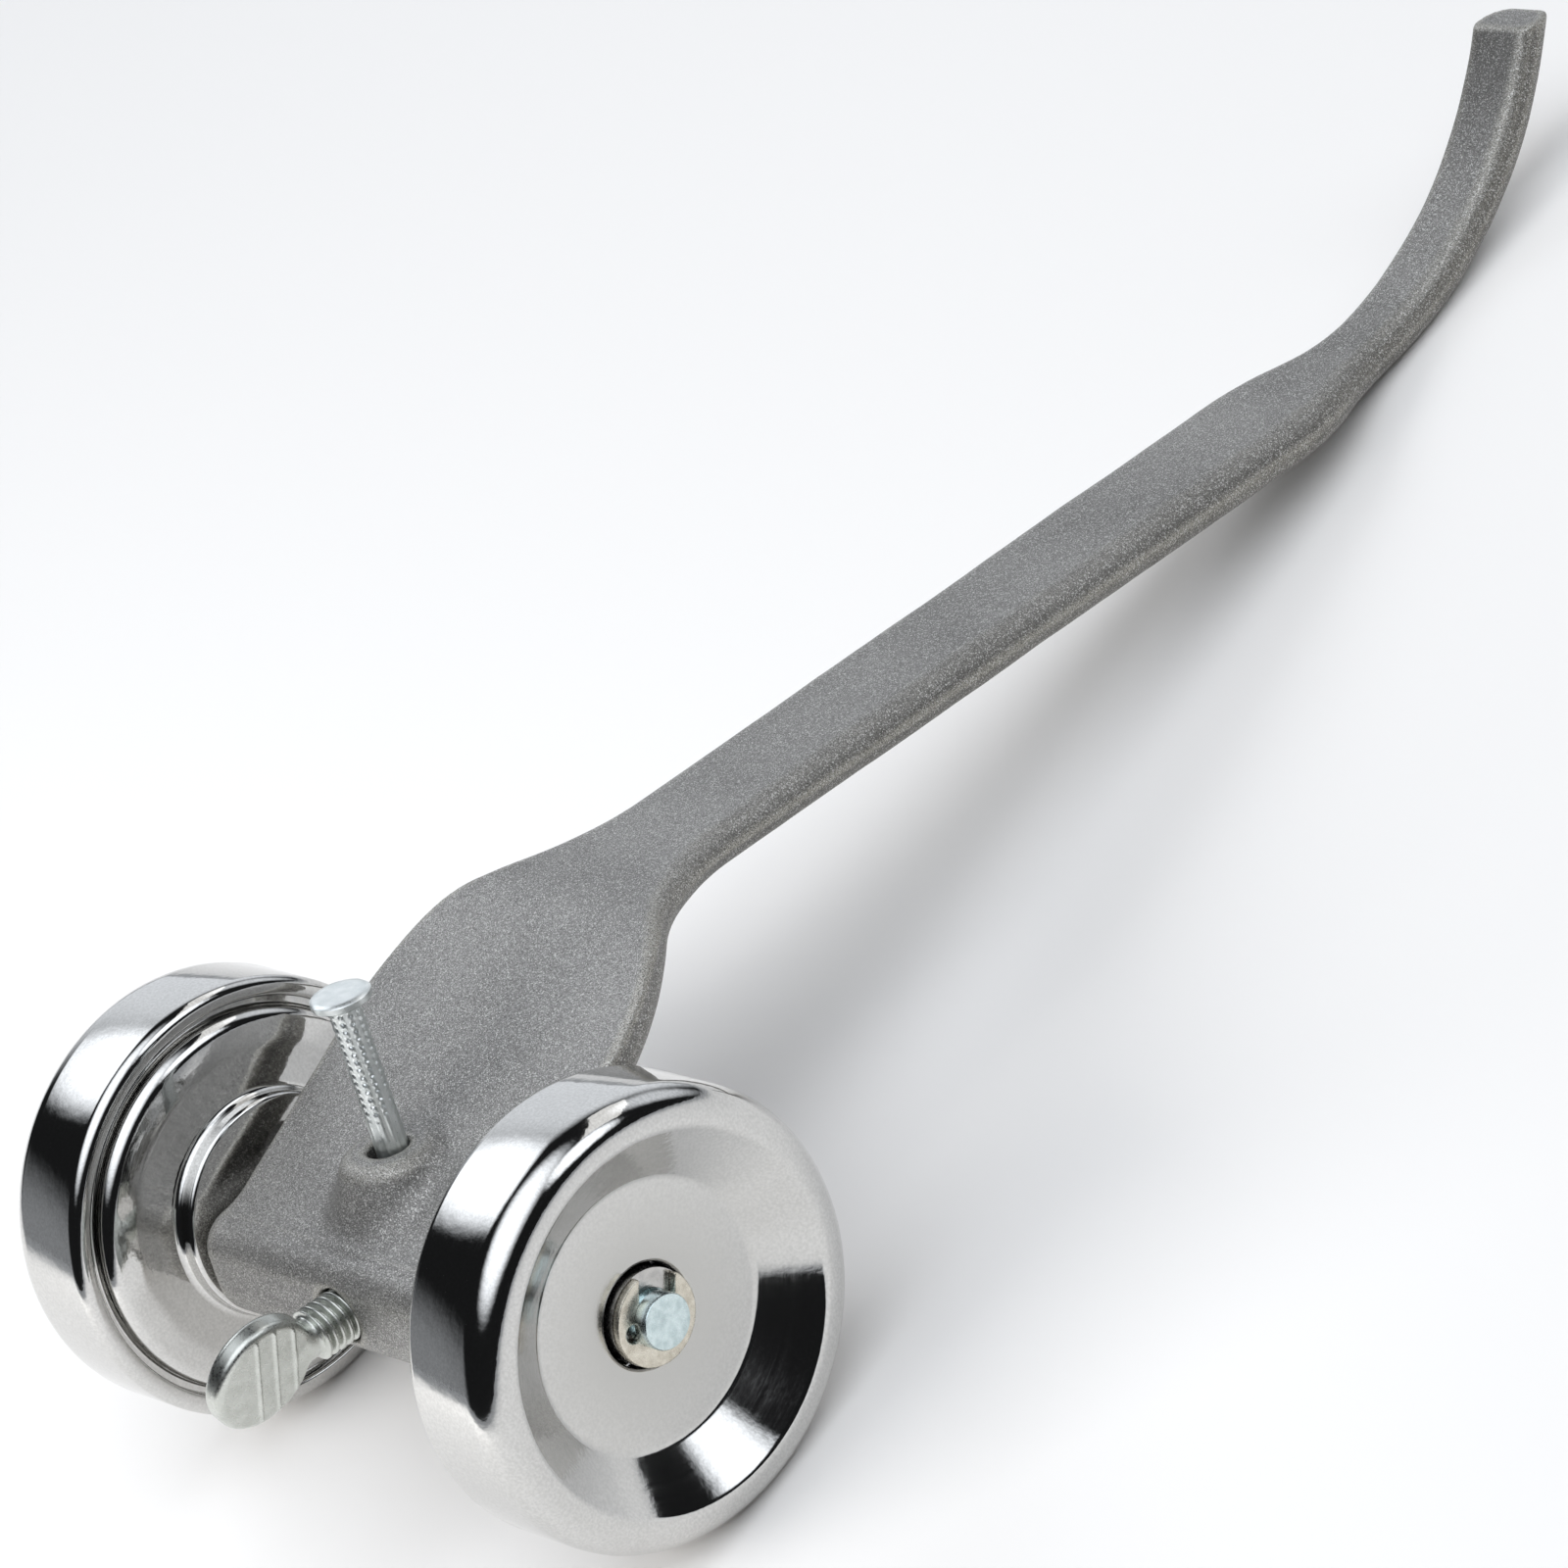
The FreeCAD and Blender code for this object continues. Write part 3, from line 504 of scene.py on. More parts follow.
# share of the satin on the dished bevel: rougher, and darker as a painted reflection tone
BEVEL_SATIN_AND_REFLECTION = 0.3
CRIMP_RADIUS = 22.1
CRIMP_ROUND = 1.4
THIN_ROUND = 0.25
COVER_RIM_RADIUS = cover_high[2]
DOME_PLANE = 27.7
DOME_RADIUS = 21.0
DOME_ROUND = 1.8
DOME_CROWN_PLANE = 26.9
DOME_CROWN_RADIUS = 17.5
DOME_CROWN_ROUND = 6.0
BOSS_ROOT_PLANE = 26.7
HUB_RADIUS = 12.4
HUB_PLANE = cover_low[0]
HUB_ROUND = 0.6
ROOT_ROUND = 0.8
PIN_RADIUS = pin_high[2]
PIN_CHAMFER = 0.25
PIN_GROOVE_RADIUS = 2.5
PIN_GROOVE_GAP = 0.04
PIN_CENTRE_RADIUS = 0.4
PIN_CENTRE_DEPTH = 0.15
PIN_FACE_DIP = 0.05
PIN_SEGMENTS = 96
AXIS_RADIUS = 0.05
CLIP_RADIUS = clip_high[2]
CLIP_OPENING = 4.6
CLIP_OPENING_ANGLE = math.radians(69.0)
CLIP_RELIEF_ANGLES = (math.radians(110.0), math.radians(-110.0))
CLIP_RELIEF_PLACE = 3.2
CLIP_RELIEF_RADIUS = 0.95
CLIP_EDGE = 0.12
CLIP_CORNER = 0.36
CLIP_THICKNESS = clip_high[0] - clip_low[0]
CLIP_STEP = 0.11
CLIP_MARGIN = 0.4


def along_axle(side):
    """Lathe frame of one wheel: its local Z runs outward along the axle."""
    across = Vector((0, 1, 0))
    out = Vector((side, 0, 0))
    return Matrix((across, out.cross(across), out)).transposed().to_4x4()


def wheel_shell(name, side):
    """Outboard pressing: crimped rim, tread, rounded lip, bevel and flat disc."""
    outline = rounded_outline([
        (CRIMP_PLANE, WHEEL_RADIUS, CRIMP_ROUND),
        (LIP_PLANE, WHEEL_RADIUS, LIP_OUTER_ROUND),
        (LIP_PLANE, LIP_RADIUS, LIP_INNER_ROUND),
        (DISC_PLANE, DISC_RADIUS, DISC_ROUND),
        (DISC_PLANE, HUB_HOLE_RADIUS, HUB_EDGE_ROUND),
        (DISC_PLANE - SHEET, HUB_HOLE_RADIUS, THIN_ROUND),
        (DISC_PLANE - SHEET, DISC_RADIUS + SHEET / 2, DISC_ROUND),
        (LIP_PLANE - SHEET, LIP_RADIUS + SHEET / 2, THIN_ROUND),
        (LIP_PLANE - SHEET, WHEEL_RADIUS - SHEET, LIP_OUTER_ROUND - SHEET),
        (CRIMP_PLANE + SHEET, WHEEL_RADIUS - SHEET, THIN_ROUND),
        (CRIMP_PLANE + SHEET, CRIMP_RADIUS, THIN_ROUND),
        (CRIMP_PLANE, CRIMP_RADIUS, THIN_ROUND * 2),
    ])
    piece = lathe(f"{name}_shell", outline, WHEEL_SEGMENTS, along_axle(side))
    radius = np.repeat([point[1] for point in outline], WHEEL_SEGMENTS)
    along = np.repeat([point[0] for point in outline], WHEEL_SEGMENTS)
    # the bevel gets part of the satin: rougher, and darker as a painted reflection tone
    dished = (radius < LIP_RADIUS - LIP_INNER_ROUND / 2) & (along > DISC_PLANE - SHEET / 4)
    flat = (radius < DISC_RADIUS - DISC_ROUND / 2) & (along < DISC_PLANE + SHEET / 4)
    store(piece.data, "satin", np.where(flat, 1.0, BEVEL_SATIN_AND_REFLECTION * dished))
    return piece


def wheel_cover(name, side):
    """Inboard pressing: rim under the crimp, low dome and raised centre boss."""
    rim_plane = CRIMP_PLANE + SHEET
    outline = rounded_outline([
        (rim_plane, COVER_RIM_RADIUS, THIN_ROUND),
        (rim_plane, DOME_RADIUS + THIN_ROUND, THIN_ROUND),
        (DOME_PLANE, DOME_RADIUS, DOME_ROUND),
        (DOME_CROWN_PLANE, DOME_CROWN_RADIUS, DOME_CROWN_ROUND),
        (BOSS_ROOT_PLANE, HUB_RADIUS, ROOT_ROUND),
        (HUB_PLANE, HUB_RADIUS, HUB_ROUND),
        (HUB_PLANE, HUB_HOLE_RADIUS, THIN_ROUND),
        (HUB_PLANE + SHEET, HUB_HOLE_RADIUS, THIN_ROUND),
        (HUB_PLANE + SHEET, HUB_RADIUS - SHEET, THIN_ROUND),
        (BOSS_ROOT_PLANE + SHEET, HUB_RADIUS - SHEET, ROOT_ROUND),
        (DOME_PLANE + SHEET, DOME_RADIUS - SHEET, DOME_ROUND - SHEET),
        (rim_plane + SHEET, DOME_RADIUS - SHEET, THIN_ROUND),
        (rim_plane + SHEET, COVER_RIM_RADIUS, THIN_ROUND),
    ])
    return lathe(f"{name}_cover", outline, WHEEL_SEGMENTS, along_axle(side))


def axle_pin(name, side):
    """Stub pin with a chamfered end, a clip groove and a small turned centre."""
    groove_start = clip_low[0] - PIN_GROOVE_GAP
    groove_end = clip_high[0] + PIN_GROOVE_GAP
    outline = [
        (pin_low[0], AXIS_RADIUS),
        (pin_low[0], PIN_RADIUS),
        (groove_start, PIN_RADIUS),
        (groove_start, PIN_GROOVE_RADIUS),
        (groove_end, PIN_GROOVE_RADIUS),
        (groove_end, PIN_RADIUS),
        (pin_high[0] - PIN_CHAMFER, PIN_RADIUS),
        (pin_high[0] - PIN_CHAMFER / 4, PIN_RADIUS - PIN_CHAMFER / 2),
        (pin_high[0], PIN_RADIUS - PIN_CHAMFER * 1.5),
        (pin_high[0] - PIN_FACE_DIP, PIN_CENTRE_RADIUS),
        (pin_high[0] - PIN_CENTRE_DEPTH, AXIS_RADIUS),
    ]
    return lathe(f"{name}_pin", outline, PIN_SEGMENTS, along_axle(side), closed=False)


def clip_field(y, z, x):
    """E-shaped clip square to the axle; x is measured from the middle of its thickness."""
    around = np.hypot(y, z)
    ring = np.maximum(around - CLIP_RADIUS, PIN_GROOVE_RADIUS - around)
    along = y * math.cos(CLIP_OPENING_ANGLE) + z * math.sin(CLIP_OPENING_ANGLE)
    across = np.abs(z * math.cos(CLIP_OPENING_ANGLE) - y * math.sin(CLIP_OPENING_ANGLE))
    opening = np.maximum(across - CLIP_OPENING / 2, -along)
    ring = without(ring, opening, CLIP_CORNER)
    for turn in CLIP_RELIEF_ANGLES:
        angle = CLIP_OPENING_ANGLE + turn
        relief_y = CLIP_RELIEF_PLACE * math.cos(angle)
        relief_z = CLIP_RELIEF_PLACE * math.sin(angle)
        relief = np.hypot(y - relief_y, z - relief_z) - CLIP_RELIEF_RADIUS
        ring = without(ring, relief, CLIP_CORNER)
    return both(ring, np.abs(x) - CLIP_THICKNESS / 2, CLIP_EDGE)


def retaining_clip(name, side):
    """Clip in the groove of one pin."""
    reach = CLIP_RADIUS + CLIP_MARGIN
    half = CLIP_THICKNESS / 2 + CLIP_MARGIN
    place = Matrix(((0, 0, 1), (1, 0, 0), (0, 1, 0))).to_4x4()
    place.translation = Vector((side * (clip_low[0] + CLIP_THICKNESS / 2), 0, 0))
    low = (-reach, -reach, -half)
    high = (reach, reach, half)
    return net_piece(f"{name}_clip", clip_field, low, high, CLIP_STEP, place)


# ---------------------------------------------------------------------------
# Nail and thumb screw

NAIL_RADIUS = 1.8
NAIL_HEAD_RADIUS = nail_high[0]
NAIL_HEAD_THICKNESS = 1.2
NAIL_HEAD_EDGE = 0.3
NAIL_HEAD_UNDERCUT = 0.35
NAIL_HEAD_CROWN = 0.9
NAIL_HEAD_FALL = 0.05
NAIL_POINT_LENGTH = 5.0
NAIL_TIP_RADIUS = 0.3
NAIL_SEGMENTS = 120
NAIL_RING_STEP = 0.16
NAIL_FLUTES = 10
NAIL_FLUTE_DEPTH = 0.09
NAIL_TWIST = 0.012
NAIL_NICK_PITCH = 0.9
NAIL_NICK_DEPTH = 0.16
NAIL_NICK_SLANT = 0.25
NAIL_NICK_SHARPNESS = 2.0
NAIL_NICK_GAP = 0.6
NAIL_CREST_WIDTH = 0.2
NAIL_NICKS_FROM = 15.5
NAIL_NICKS_RUN_IN = 1.5
# head out of round: depth, then share, waves a turn and phase of its two waves
NAIL_HEAD_UNEVEN = 0.12
NAIL_HEAD_WIDE_WAVE = (0.3, 3, 0.7)
NAIL_HEAD_SHORT_WAVE = (0.2, 7)
# slack in picking out the points of the shank
TOUCH = 0.01
PADDLE_ANGLE = math.radians(22.7)
PADDLE_RADIUS = 6.5
PADDLE_INSET = 0.02
PADDLE_CENTRE = -(screw_low[1] + PADDLE_RADIUS + PADDLE_INSET)
PADDLE_HALF = 1.35
PADDLE_ROUND = 0.85
PADDLE_FACE_RADIUS = 6.0
PADDLE_RIDGE_FADE = 0.5
PADDLE_RIDGES = (-1.1, 1.3, 3.8)
PADDLE_RIDGE_HEIGHT = 0.26
PADDLE_RIDGE_SPREAD = 0.2
THREAD_RADIUS = 3.0
THREAD_DEPTH = 0.72
THREAD_PITCH = 1.0
THREAD_SHARPNESS = 1.5
THREAD_FLANK_SCALE = 0.8
THREAD_END = 16.3
SCREW_END_GAP = 0.05
NECK_RADIUS = 2.3
NECK_TAPER = 0.42
NECK_BLEND = 1.4
NECK_OVERLAP = 0.3
THREAD_BLEND = 0.4
SCREW_STEP = 0.12
SCREW_MARGIN = 0.6


def make_nail():
    """Fluted masonry nail with diagonal nicks on the upper part of its shank."""
    head_under = nail_high[2] - NAIL_HEAD_THICKNESS
    cone_top = nail_low[2] + NAIL_POINT_LENGTH
    length = head_under - cone_top
    rings = int(length / NAIL_RING_STEP)
    shank = [(cone_top + length * step / rings, NAIL_RADIUS) for step in range(rings + 1)]
    outline = [(nail_low[2], NAIL_TIP_RADIUS)] + shank + [
        (head_under + NAIL_HEAD_FALL, NAIL_HEAD_RADIUS - NAIL_HEAD_UNDERCUT),
        (head_under + NAIL_HEAD_EDGE, NAIL_HEAD_RADIUS),
        (nail_high[2] - NAIL_HEAD_EDGE, NAIL_HEAD_RADIUS),
        (nail_high[2] - NAIL_HEAD_FALL, NAIL_HEAD_RADIUS - NAIL_HEAD_EDGE),
        (nail_high[2], NAIL_HEAD_RADIUS - NAIL_HEAD_CROWN),
        (nail_high[2], NAIL_TIP_RADIUS),
    ]

    def nicks(along, turn, crest):
        """Slanting cuts across the crests, fading in up the shank."""
        phase = 2 * math.pi * along / NAIL_NICK_PITCH + turn * NAIL_NICK_SLANT
        cut = np.clip(np.cos(phase) * NAIL_NICK_SHARPNESS - NAIL_NICK_GAP, 0, 1)
        started = np.clip((along - NAIL_NICKS_FROM) / NAIL_NICKS_RUN_IN, 0, 1)
        return NAIL_NICK_DEPTH * cut * np.clip(crest + NAIL_CREST_WIDTH, 0, 1) * started

    def out_of_round(along, angle):
        """Unevenness of the head's rim, from 0 to 1."""
        wide, wide_count, wide_phase = NAIL_HEAD_WIDE_WAVE
        short, short_count = NAIL_HEAD_SHORT_WAVE
        wide_wave = wide * np.sin(wide_count * angle + wide_phase)
        return 0.5 + wide_wave + short * np.sin(short_count * angle + along * 2)

    def warp(along, radius, angle):
        on_shank = (along >= cone_top) & (along <= head_under + TOUCH)
        on_shank = on_shank & (radius <= NAIL_RADIUS + TOUCH)
        turn = NAIL_FLUTES * (angle + NAIL_TWIST * along)
        crest = np.cos(turn)
        flute = NAIL_FLUTE_DEPTH * np.clip(0.5 - crest, 0, 1)
        radius = radius - on_shank * (flute + nicks(along, turn, crest))
        on_head = radius > NAIL_RADIUS + NAIL_HEAD_EDGE
        return along, radius - on_head * NAIL_HEAD_UNEVEN * out_of_round(along, angle)

    place = Matrix.Translation(Vector((0, (nail_low[1] + nail_high[1]) / 2, 0)))
    return lathe("nail_body", outline, NAIL_SEGMENTS, place, warp, closed=False)


def screw_field(x, y, z):
    """Thumb screw about its own axis: helical thread, cone neck, ridged round paddle."""
    around = np.hypot(x, z)
    turn = np.arctan2(z, x) / (2 * math.pi)
    phase = np.mod(y / THREAD_PITCH + turn, 1.0)
    groove = THREAD_DEPTH * (0.5 - 0.5 * np.cos(2 * math.pi * phase)) ** THREAD_SHARPNESS
    thread = (around - THREAD_RADIUS + groove) * THREAD_FLANK_SCALE
    thread = np.maximum(thread, -y - THREAD_END)
    thread = np.maximum(thread, y - screw_high[1] + SCREW_END_GAP)
    taper = NECK_RADIUS - NECK_TAPER * np.maximum(-y - THREAD_END, 0)
    neck_ends = np.maximum(y + THREAD_END - NECK_OVERLAP, -y - PADDLE_CENTRE)
    neck = np.maximum(around - taper, neck_ends)
    outward = x * math.cos(PADDLE_ANGLE) - z * math.sin(PADDLE_ANGLE)
    sideways = x * math.sin(PADDLE_ANGLE) + z * math.cos(PADDLE_ANGLE)
    from_centre = np.hypot(y + PADDLE_CENTRE, sideways)
    on_face = np.clip((PADDLE_FACE_RADIUS - from_centre) / PADDLE_RIDGE_FADE, 0, 1)
    ridges = sum(
        np.exp(-((y + PADDLE_CENTRE - place) / PADDLE_RIDGE_SPREAD) ** 2)
        for place in PADDLE_RIDGES
    )
    half = PADDLE_HALF + on_face * PADDLE_RIDGE_HEIGHT * ridges
    paddle = both(from_centre - PADDLE_RADIUS, np.abs(outward) - half, PADDLE_ROUND)
    return either(thread, either(neck, paddle, NECK_BLEND), THREAD_BLEND)


def make_screw():
    """Thumb screw, meshed about its own axis and lifted to its height in the block."""
    reach = max(abs(screw_low[0] - SCREW_MARGIN), PADDLE_RADIUS + SCREW_MARGIN)
    low = (-reach, screw_low[1] - SCREW_MARGIN, -reach)
    high = (reach, screw_high[1] + SCREW_MARGIN, reach)
    place = Matrix.Translation(Vector((0.0, 0.0, SCREW_HEIGHT)))
    return net_piece("screw_body", screw_field, low, high, SCREW_STEP, place)


# ---------------------------------------------------------------------------
# Materials


# sockets of a Mix node set to RGBA
MIX_SHARE = 0
MIX_COLOURS = (6, 7)
MIX_RESULT = 2
# levels between which most of a noise lies
NOISE_RANGE = (0.35, 0.65)
# casting: tones of its pits and its skin, then painted shade on sides and grip, worn edge with a
# painted highlight, and painted sparkle
PIT_TONES = ((0.090, 0.088, 0.084), (0.135, 0.132, 0.126))
SKIN_TONES = ((0.350, 0.343, 0.331), (0.470, 0.461, 0.445))
PAINTED_SHADE_TONE = (0.085, 0.080, 0.068)
WORN_AND_HIGHLIGHT_TONE = (0.60, 0.575, 0.50)
SPARKLE_TONE = (0.70, 0.69, 0.665)
# how strongly painted shade darkens the sides and the grip
SIDE_SHADE_SHARE = 0.5
GRIP_SHADE_SHARE = 0.22
# wheels: tones of the bright sheet and of its satin faces, on the bevel partly a painted reflection
# tone
SHEET_TONES = ((0.56, 0.555, 0.54), (0.66, 0.655, 0.64))
SATIN_TONE = (0.53, 0.525, 0.505)
SATIN_ROUGHNESS = 0.14


class Nodes:
    """Short words for building a node tree."""

    def __init__(self, tree):
        self.tree = tree

    def feed(self, socket, value):
        """Link value to the socket if it is an output, or else set it there."""
        if hasattr(value, "is_output"):
            self.tree.links.new(value, socket)
        elif isinstance(value, tuple) and socket.type == "RGBA":
            socket.default_value = (*value, 1)
        else:
            socket.default_value = value

    def node(self, kind, **inputs):
        """Node with the inputs fed by name, underscores standing for spaces."""
        node = self.tree.nodes.new(kind)
        for name, value in inputs.items():
            self.feed(node.inputs[name.replace("_", " ")], value)
        return node

    def coordinates(self, kind):
        """Texture coordinates of one kind, such as Object."""
        return self.node("ShaderNodeTexCoord").outputs[kind]

    def ramp(self, value, low, high, bottom=0.0, top=1.0, smooth=False):
        """Map low..high of value to bottom..top, clamped."""
        node = self.node("ShaderNodeMapRange", Value=value)
        if smooth:
            node.interpolation_type = "SMOOTHSTEP"
        levels = {"From Min": low, "From Max": high, "To Min": bottom, "To Max": top}
        for name, level in levels.items():
            node.inputs[name].default_value = level
        return node.outputs["Result"]

    def maths(self, operation, first, second):
        """Number made from two numbers."""
        node = self.node("ShaderNodeMath")
        node.operation = operation
        self.feed(node.inputs[0], first)
        self.feed(node.inputs[1], second)
        return node.outputs["Value"]

    def vector_maths(self, operation, first, second, result="Vector"):
        """Vector, or with result="Value" number, made from two vectors."""
        node = self.node("ShaderNodeVectorMath")
        node.operation = operation
        self.feed(node.inputs[0], first)
        self.feed(node.inputs[1], second)
        return node.outputs[result]

    def mix(self, share, *colours):
        """Colour between the two colours."""
        node = self.node("ShaderNodeMix")
        node.data_type = "RGBA"
        self.feed(node.inputs[MIX_SHARE], share)
        for index, colour in zip(MIX_COLOURS, colours):
            self.feed(node.inputs[index], colour)
        return node.outputs[MIX_RESULT]


class Look(Nodes):
    """One material."""

    def __init__(self, name, metallic):
        self.material = bpy.data.materials.new(name)
        self.material.use_nodes = True
        super().__init__(self.material.node_tree)
        self.shader = self.tree.nodes["Principled BSDF"]
        self.set("Metallic", metallic)
        self.place = self.coordinates("Object")

    def set(self, name, value):
        """Feed one input of the material's shader."""
        self.feed(self.shader.inputs[name], value)

    def grain(self, size_mm, detail=2.0, place=None):
        """Noise whose features are about size_mm across."""
        vector = self.place if place is None else place
        scale = 1 / (size_mm * MM)
        node = self.node("ShaderNodeTexNoise", Vector=vector, Scale=scale, Detail=detail)
        return node.outputs["Fac"]

    def cells(self, size_mm):
        """Random colour for each cell of about size_mm."""
        node = self.node("ShaderNodeTexVoronoi", Vector=self.place, Scale=1 / (size_mm * MM))
        return node.outputs["Color"]

    def attribute(self, name):
        """Number kept in the mesh by store()."""
        node = self.node("ShaderNodeAttribute")
        node.attribute_name = name
        return node.outputs["Fac"]

    def bump(self, *layers):
        """Stack bumps: (height, strength, distance in mm)."""
        below = {}
        for height, strength, distance in layers:
            node = self.node(
                "ShaderNodeBump", Strength=strength, Distance=distance * MM, Height=height, **below
            )
            below = {"Normal": node.outputs["Normal"]}
        self.set("Normal", below["Normal"])


def turned_lines(look, width_mm):
    """Noise that changes only with distance from the axle and along it."""
    from_axle = look.vector_maths("SUBTRACT", look.place, TOOL.translation)
    parts = look.node("ShaderNodeSeparateXYZ", Vector=from_axle)
    square_y = look.maths("POWER", parts.outputs["Y"], 2.0)
    square_z = look.maths("POWER", parts.outputs["Z"], 2.0)
    around = look.maths("POWER", look.maths("ADD", square_y, square_z), 0.5)
    lines = look.node("ShaderNodeCombineXYZ", X=parts.outputs["X"], Y=around)
    return look.grain(width_mm, 1.0, lines.outputs["Vector"])


def casting_look():
    """Bead-blasted grey skin with pits and painted sparkle, painted shade on the sides and grip,
    and worn edges with a painted highlight.
    """
    look = Look("bead_blasted_casting", 0.65)
    fine = look.grain(0.12, 3.0)
    coarse = look.grain(0.6, 3.0)
    cloud = look.grain(22.0, 3.0)
    spark = look.node("ShaderNodeSeparateColor", Color=look.cells(0.12))
    glint = look.ramp(spark.outputs["Red"], 0.76, 1.0, 0.0, 0.9)
    broad = look.ramp(cloud, *NOISE_RANGE)
    grey = look.mix(
        look.ramp(fine, 0.34, 0.66), look.mix(broad, *PIT_TONES), look.mix(broad, *SKIN_TONES)
    )
    # painted shade: darker on the sides and towards the grip
    side = look.maths("MULTIPLY", look.attribute("side"), SIDE_SHADE_SHARE)
    grip = look.maths("MULTIPLY", look.attribute("grip"), GRIP_SHADE_SHARE)
    shaded_grey = look.mix(look.maths("ADD", side, grip), grey, PAINTED_SHADE_TONE)
    # edges: partly wear, partly a painted highlight
    speckle = look.ramp(fine, 0.38, 0.6, 0.1, 1.0)
    edge = look.maths("MULTIPLY", look.attribute("edge"), speckle)
    worn_and_lit = look.mix(look.ramp(edge, 0.1, 0.8, 0.0, 0.5), shaded_grey, WORN_AND_HIGHLIGHT_TONE)
    look.set("Base Color", look.mix(glint, worn_and_lit, SPARKLE_TONE))
    look.set("Roughness", look.ramp(fine, 0.3, 0.7, 0.54, 0.40))
    look.bump((coarse, 0.3, 0.08), (fine, 0.6, 0.05), (spark.outputs["Green"], 0.3, 0.03))
    return look.material


def chrome_look():
    """Bright sheet with faint turned lines and ripples, satin on the disc and bevel, the bevel's
    darker tone being painted reflection.
    """
    look = Look("bright_plated_sheet", 1.0)
    peel = look.grain(1.3, 1.0)
    ripple = look.grain(8.0, 1.0)
    lines = turned_lines(look, 0.25)
    speck = look.grain(0.3, 2.0)
    satin = look.attribute("satin")
    tone = look.mix(look.ramp(speck, 0.35, 0.7), *SHEET_TONES)
    look.set("Base Color", look.mix(satin, tone, SATIN_TONE))
    bright = look.ramp(lines, 0.3, 0.7, 0.045, 0.09)
    look.set("Roughness", look.maths("ADD", bright, look.maths("MULTIPLY", satin, SATIN_ROUGHNESS)))
    look.bump((ripple, 0.25, 0.1), (peel, 0.4, 0.03), (lines, 0.1, 0.015), (speck, 0.25, 0.01))
    return look.material


def plated_look(name, tones, roughness, size, strength, lines=0.0):
    """Zinc or bright steel: two tones of one colour, mottled, with a fine uneven skin.

    size is the mottle's and lines the turned lines' width in millimetres.
    """
    look = Look(name, 1.0)
    mottle = look.grain(size, 2.0)
    fine = look.grain(size / 6, 2.0)
    look.set("Base Color", look.mix(look.ramp(mottle, *NOISE_RANGE), *tones))
    look.set("Roughness", look.ramp(fine, 0.3, 0.7, roughness * 0.8, roughness * 1.3))
    layers = [(mottle, strength, 0.05), (fine, strength, 0.02)]
    if lines:
        layers.append((turned_lines(look, lines), 0.3, 0.02))
    look.bump(*layers)
    return look.material


CASTING = casting_look()
CHROME = chrome_look()
PIN = plated_look(
    "pale_blue_zinc", ((0.52, 0.62, 0.63), (0.66, 0.76, 0.77)),
    roughness=0.24, size=0.8, strength=0.15, lines=0.2,
)
CLIP = plated_look(
    "yellowish_zinc", ((0.54, 0.50, 0.42), (0.70, 0.66, 0.57)),
    roughness=0.26, size=1.0, strength=0.2,
)
RACE = plated_look(
    "race_steel", ((0.42, 0.41, 0.40), (0.58, 0.57, 0.55)),
    roughness=0.22, size=1.5, strength=0.1, lines=0.2,
)
BALL = plated_look(
    "ball_steel", ((0.66, 0.66, 0.67), (0.76, 0.76, 0.77)),
    roughness=0.08, size=1.0, strength=0.03,
)
NAIL = plated_look(
    "galvanised_nail", ((0.76, 0.80, 0.79), (0.88, 0.91, 0.90)),
    roughness=0.34, size=1.3, strength=0.05,
)
SCREW = plated_look(
    "bright_zinc_screw", ((0.54, 0.555, 0.52), (0.61, 0.625, 0.59)),
    roughness=0.3, size=1.6, strength=0.03,
)


# ---------------------------------------------------------------------------
# Build


def dress(piece, material, body, slot, *replaced):
    """Give a piece its material and body, and hide the CAD nodes it replaces; slot is not used."""
    piece.data.materials.append(material)
    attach(piece, body)
    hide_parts(*replaced)


def paint(node, material):
    """Give a CAD node that stays in view its material."""
    mesh = frame["nodes"][node].data
    mesh.materials.clear()
    mesh.materials.append(material)


dress(make_casting(), CASTING, "frame", "casting", "handle_casting")
for side_name, side_sign in (("left", -1), ("right", 1)):
    wheel_body = f"{side_name}_wheel"
    shell = wheel_shell(wheel_body, side_sign)
    cover = wheel_cover(wheel_body, side_sign)
    pin = axle_pin(side_name, side_sign)
    clip = retaining_clip(side_name, side_sign)
    dress(shell, CHROME, wheel_body, "wheel_chrome", f"{side_name}_wheel_shell")
    dress(cover, CHROME, wheel_body, "wheel_chrome", f"{side_name}_wheel_cover")
    dress(pin, PIN, "frame", "zinc_pin", f"{side_name}_axle_pin")
    dress(clip, CLIP, "frame", "zinc_clip", f"{side_name}_retaining_clip")
    paint(f"{side_name}_inner_race", RACE)
    paint(f"{side_name}_outer_race", RACE)
    paint(f"{side_name}_bearing_balls", BALL)
dress(make_nail(), NAIL, "nail", "nail_steel", "depth_nail")
dress(make_screw(), SCREW, "screw", "screw_zinc", "thumb_screw")
paint("thumb_screw_point", SCREW)

# ---------------------------------------------------------------------------
# Floor, light and camera

# lengths here are metres in the row frame
FLOOR_HALF = 6.0
# camera in the tool frame: place in millimetres, directions to its right and down
CAMERA_PLACE = (516.99, -307.66, 292.85)
CAMERA_RIGHT = (0.64995, 0.70946, -0.27245)
CAMERA_DOWN = (0.13146, -0.45804, -0.87916)
CAMERA_LENS = 145.7
CAMERA_SENSOR = 36.0
CAMERA_CLIP_START = 0.05
ROOM_LEVEL = 0.014
ROOM_TINT = (0.92, 0.96, 1.02)
